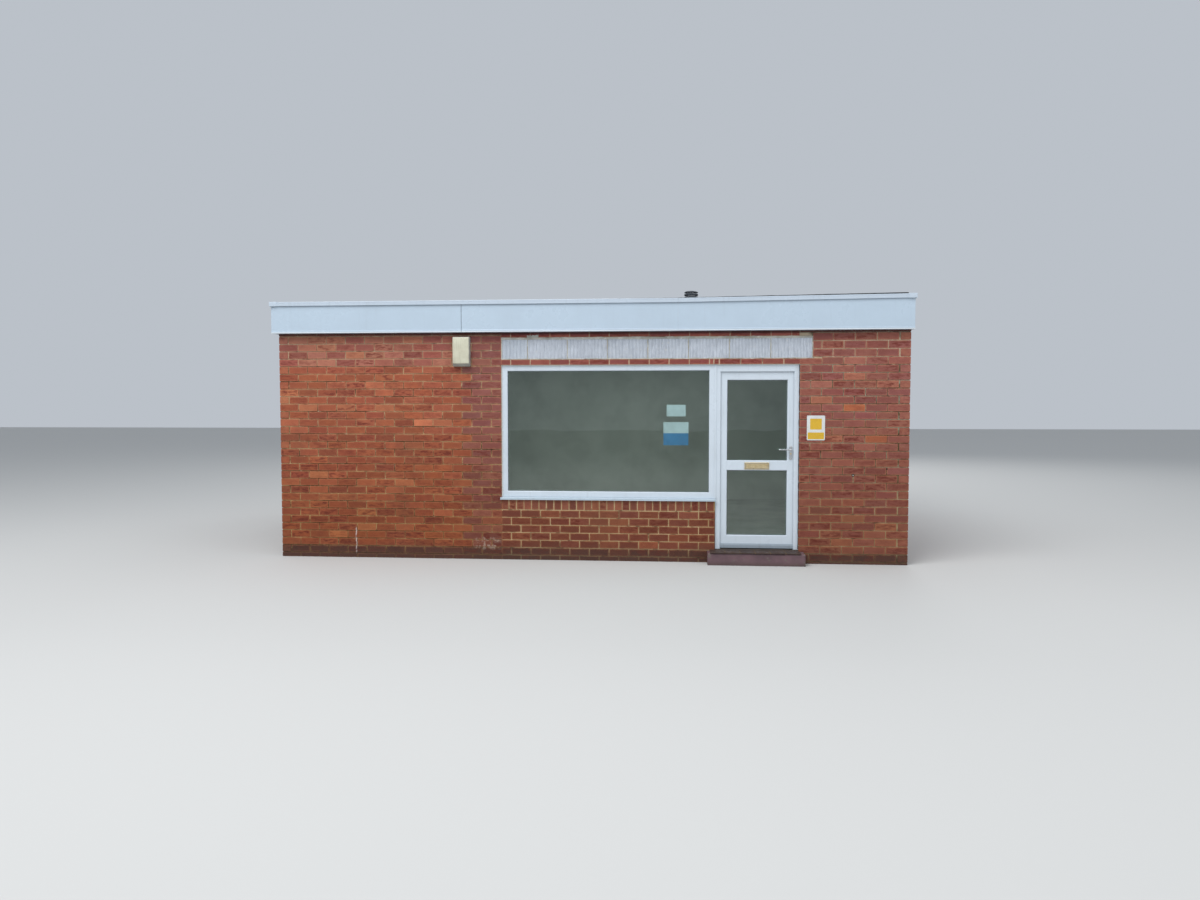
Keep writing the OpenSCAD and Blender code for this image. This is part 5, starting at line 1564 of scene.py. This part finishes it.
def buildStep():
    s, near = step, step["near"]
    dice = random.Random(51)
    shape = Shape(worn=0.0)
    columns, ups, backs = s["columns"], s["ups"], s["backs"]
    (x0, x1), (y0, y1), high = s["x"], s["y"], s["high"]
    wide, deep = x1 - x0, y1 - y0
    known = {}

    # A point of the block and how worn it is: knocked back a little on the faces and further on the edges.
    def knocked(x, y, z):
        nearX, nearY, nearZ = min(x - x0, x1 - x), y - y0, high - z
        edge = sum(v < near for v in (nearX, nearY, nearZ)) >= 2
        back = (s["edge"] if edge else 0.0) + abs(dice.gauss(0, 0.0016 if edge else 0.0004))
        p = Vector((x, y, z))
        if nearX < near:
            p.x += back if x - x0 < 0.01 else -back
        if nearY < near:
            p.y += back
        if nearZ < near:
            p.z -= back
        return tuple(p), 1.0 if edge else 0.0

    # The panels share the points of their edges.
    def at(x, y, z):
        key = (round(x, 5), round(y, 5), round(z, 5))
        if key not in known:
            known[key] = knocked(x, y, z)
        return known[key]

    def panel(place, across, up):
        made = [place(n / across, m / up) for m in range(up + 1) for n in range(across + 1)]
        shape.add([p for p, _ in made], gridFaces(up, across), worn=[w for _, w in made])

    panel(lambda u, v: at(x0 + wide * u, y0, high * v), columns, ups)
    panel(lambda u, v: at(x0 + wide * u, y0 + deep * v, high), columns, backs)
    panel(lambda u, v: at(x0, y1 - deep * u, high * v), backs, ups)
    panel(lambda u, v: at(x1, y0 + deep * u, high * v), backs, ups)
    panel(lambda u, v: ((x0 + wide * u, y1, high * v), 0.0), 1, 1)
    panel(lambda u, v: ((x0 + wide * u, y0 + deep * v, 0.0), 0.0), 1, 1)
    made = shape.piece("doorStep", "shop", stepPaint, smooth=True)
    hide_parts("door_step")

    tiles = Shape(chance=0.0)
    low, high = s["high"] + near, s["high"] + s["tile"]
    front, grout, nose = s["tileFront"], s["grout"], s["nose"]
    pitch = (s["tileX"][1] - s["tileX"][0] + grout) / s["tiles"]
    for n in range(s["tiles"]):
        a = s["tileX"][0] + n * pitch
        b = a + pitch - grout
        rings = []
        drop = dice.uniform(0, 0.0006)
        for x, soft in ((a, 0.0012), (a + 0.0014, 0.0), (b - 0.0014, 0.0), (b, 0.0012)):
            face, rise = front + soft, high - low - nose - soft - drop
            turns = [math.radians(t) for t in (22, 45, 68, 90)]
            outline = [(face, low), (face, low + nose)]
            outline += [(face + s["noseDeep"] * (1 - math.cos(t)), low + nose + rise * math.sin(t))
                        for t in turns]
            outline += [(y1, high - soft - drop), (y1, low)]
            rings.append([(x, y, z) for y, z in outline])
        loft(tiles, rings, chance=dice.random())
        if n:
            tiles.box((a - grout - 0.0005, a + 0.0005), (front + 0.004, y1), (low, high - 0.0022), 1)
    made = tiles.piece("stepTiles", "shop", quarryTile, mortar, smooth=True)
    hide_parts("step_tile")


# Inside: a floated floor, a boarded ceiling, the lintel behind the blocks and the sill under the door.
def softBox(name, node, material, cuts=12, edge=0.004):
    low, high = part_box(node)
    size = [high[i] - low[i] for i in range(3)]
    long = size.index(max(size))
    across = [i for i in range(3) if i != long]
    rings = []
    for n in range(cuts + 1):
        soft = edge * 0.6 if n in (0, cuts) else 0.0
        outline = roundedOutline(*((low[i] + soft, high[i] - soft) for i in across), edge, 2)
        rings.append([onAxis("xyz"[long], a, b, low[long] + size[long] * n / cuts) for a, b in outline])
    shape = Shape()
    loft(shape, rings)
    made = shape.piece(name, "shop", material)
    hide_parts(node)


buildAlarmBox()
buildSign()
buildNotices()
buildStep()
softBox("floorSlab", "floor_slab", floorConcrete)
softBox("innerLintel", "inner_lintel", castConcrete)
softBox("doorBase", "door_base", sillConcrete, 6)
softBox("ceilingBoards", "ceiling", plaster, 6, 0.002)
print("fixtures, step and inside built")


# Stage: a plain pale floor, a soft pale surround and broad lights.
lights = {"keyLight": ((-3.5, -10, 13), (0, -2.6, 1.0), 9.0, 1700.0),
          "fillLight": ((12, -12, 7), (1, -2, 1.2), 8.0, 420.0),
          "backLight": ((4, 14, 12), (0, 2, 1.5), 9.0, 900.0),
          "roomLight": ((0, 0, 2.5), (0, 0.01, 0), 2.2, 24.0)}


def studio():
    floor = Shape()
    floor.box((-60, 60), (-60, 60), (-0.2, 0))
    n = Nodes("studioFloor", roughness=0.8, specular=0.2)
    n.colour = linear(196, 196, 194)
    mesh = bpy.data.meshes.new("studioFloor")
    mesh.from_pydata(floor.points, [], floor.faces)
    mesh.materials.append(n.finish())
    made = bpy.data.objects.new("studioFloor", mesh)
    bpy.context.scene.collection.objects.link(made)
    world = bpy.data.worlds.new("studioAir")
    world.use_nodes = True
    air = world.node_tree.nodes["Background"]
    air.inputs["Color"].default_value = (0.80, 0.86, 0.94, 1.0)
    air.inputs["Strength"].default_value = 0.62
    bpy.context.scene.world = world
    for name, (place, aim, size, power) in lights.items():
        lamp = bpy.data.lights.new(name, "AREA")
        lamp.size = size
        lamp.energy = power
        held = bpy.data.objects.new(name, lamp)
        held.location = place
        held.rotation_euler = (Vector(aim) - Vector(place)).to_track_quat("-Z", "Y").to_euler()
        bpy.context.scene.collection.objects.link(held)
    bpy.context.scene.view_settings.view_transform = "Standard"


# The camera stands where the photograph was taken: right of the middle, at eye height.
camera = {"sensor": 36.0, "lens": 26.67, "far": 200.0, "place": (1.019, -12.723, 1.73), "tilt": 87.25,
          "turn": 4.93}


def photographCamera():
    lens = bpy.data.cameras.new("photographCamera")
    lens.sensor_width = camera["sensor"]
    lens.lens = camera["lens"]
    lens.clip_end = camera["far"]
    held = bpy.data.objects.new("photographCamera", lens)
    held.location = camera["place"]
    held.rotation_euler = Euler((math.radians(camera["tilt"]), 0.0, math.radians(camera["turn"])))
    bpy.context.scene.collection.objects.link(held)
    bpy.context.scene.camera = held


studio()
photographCamera()
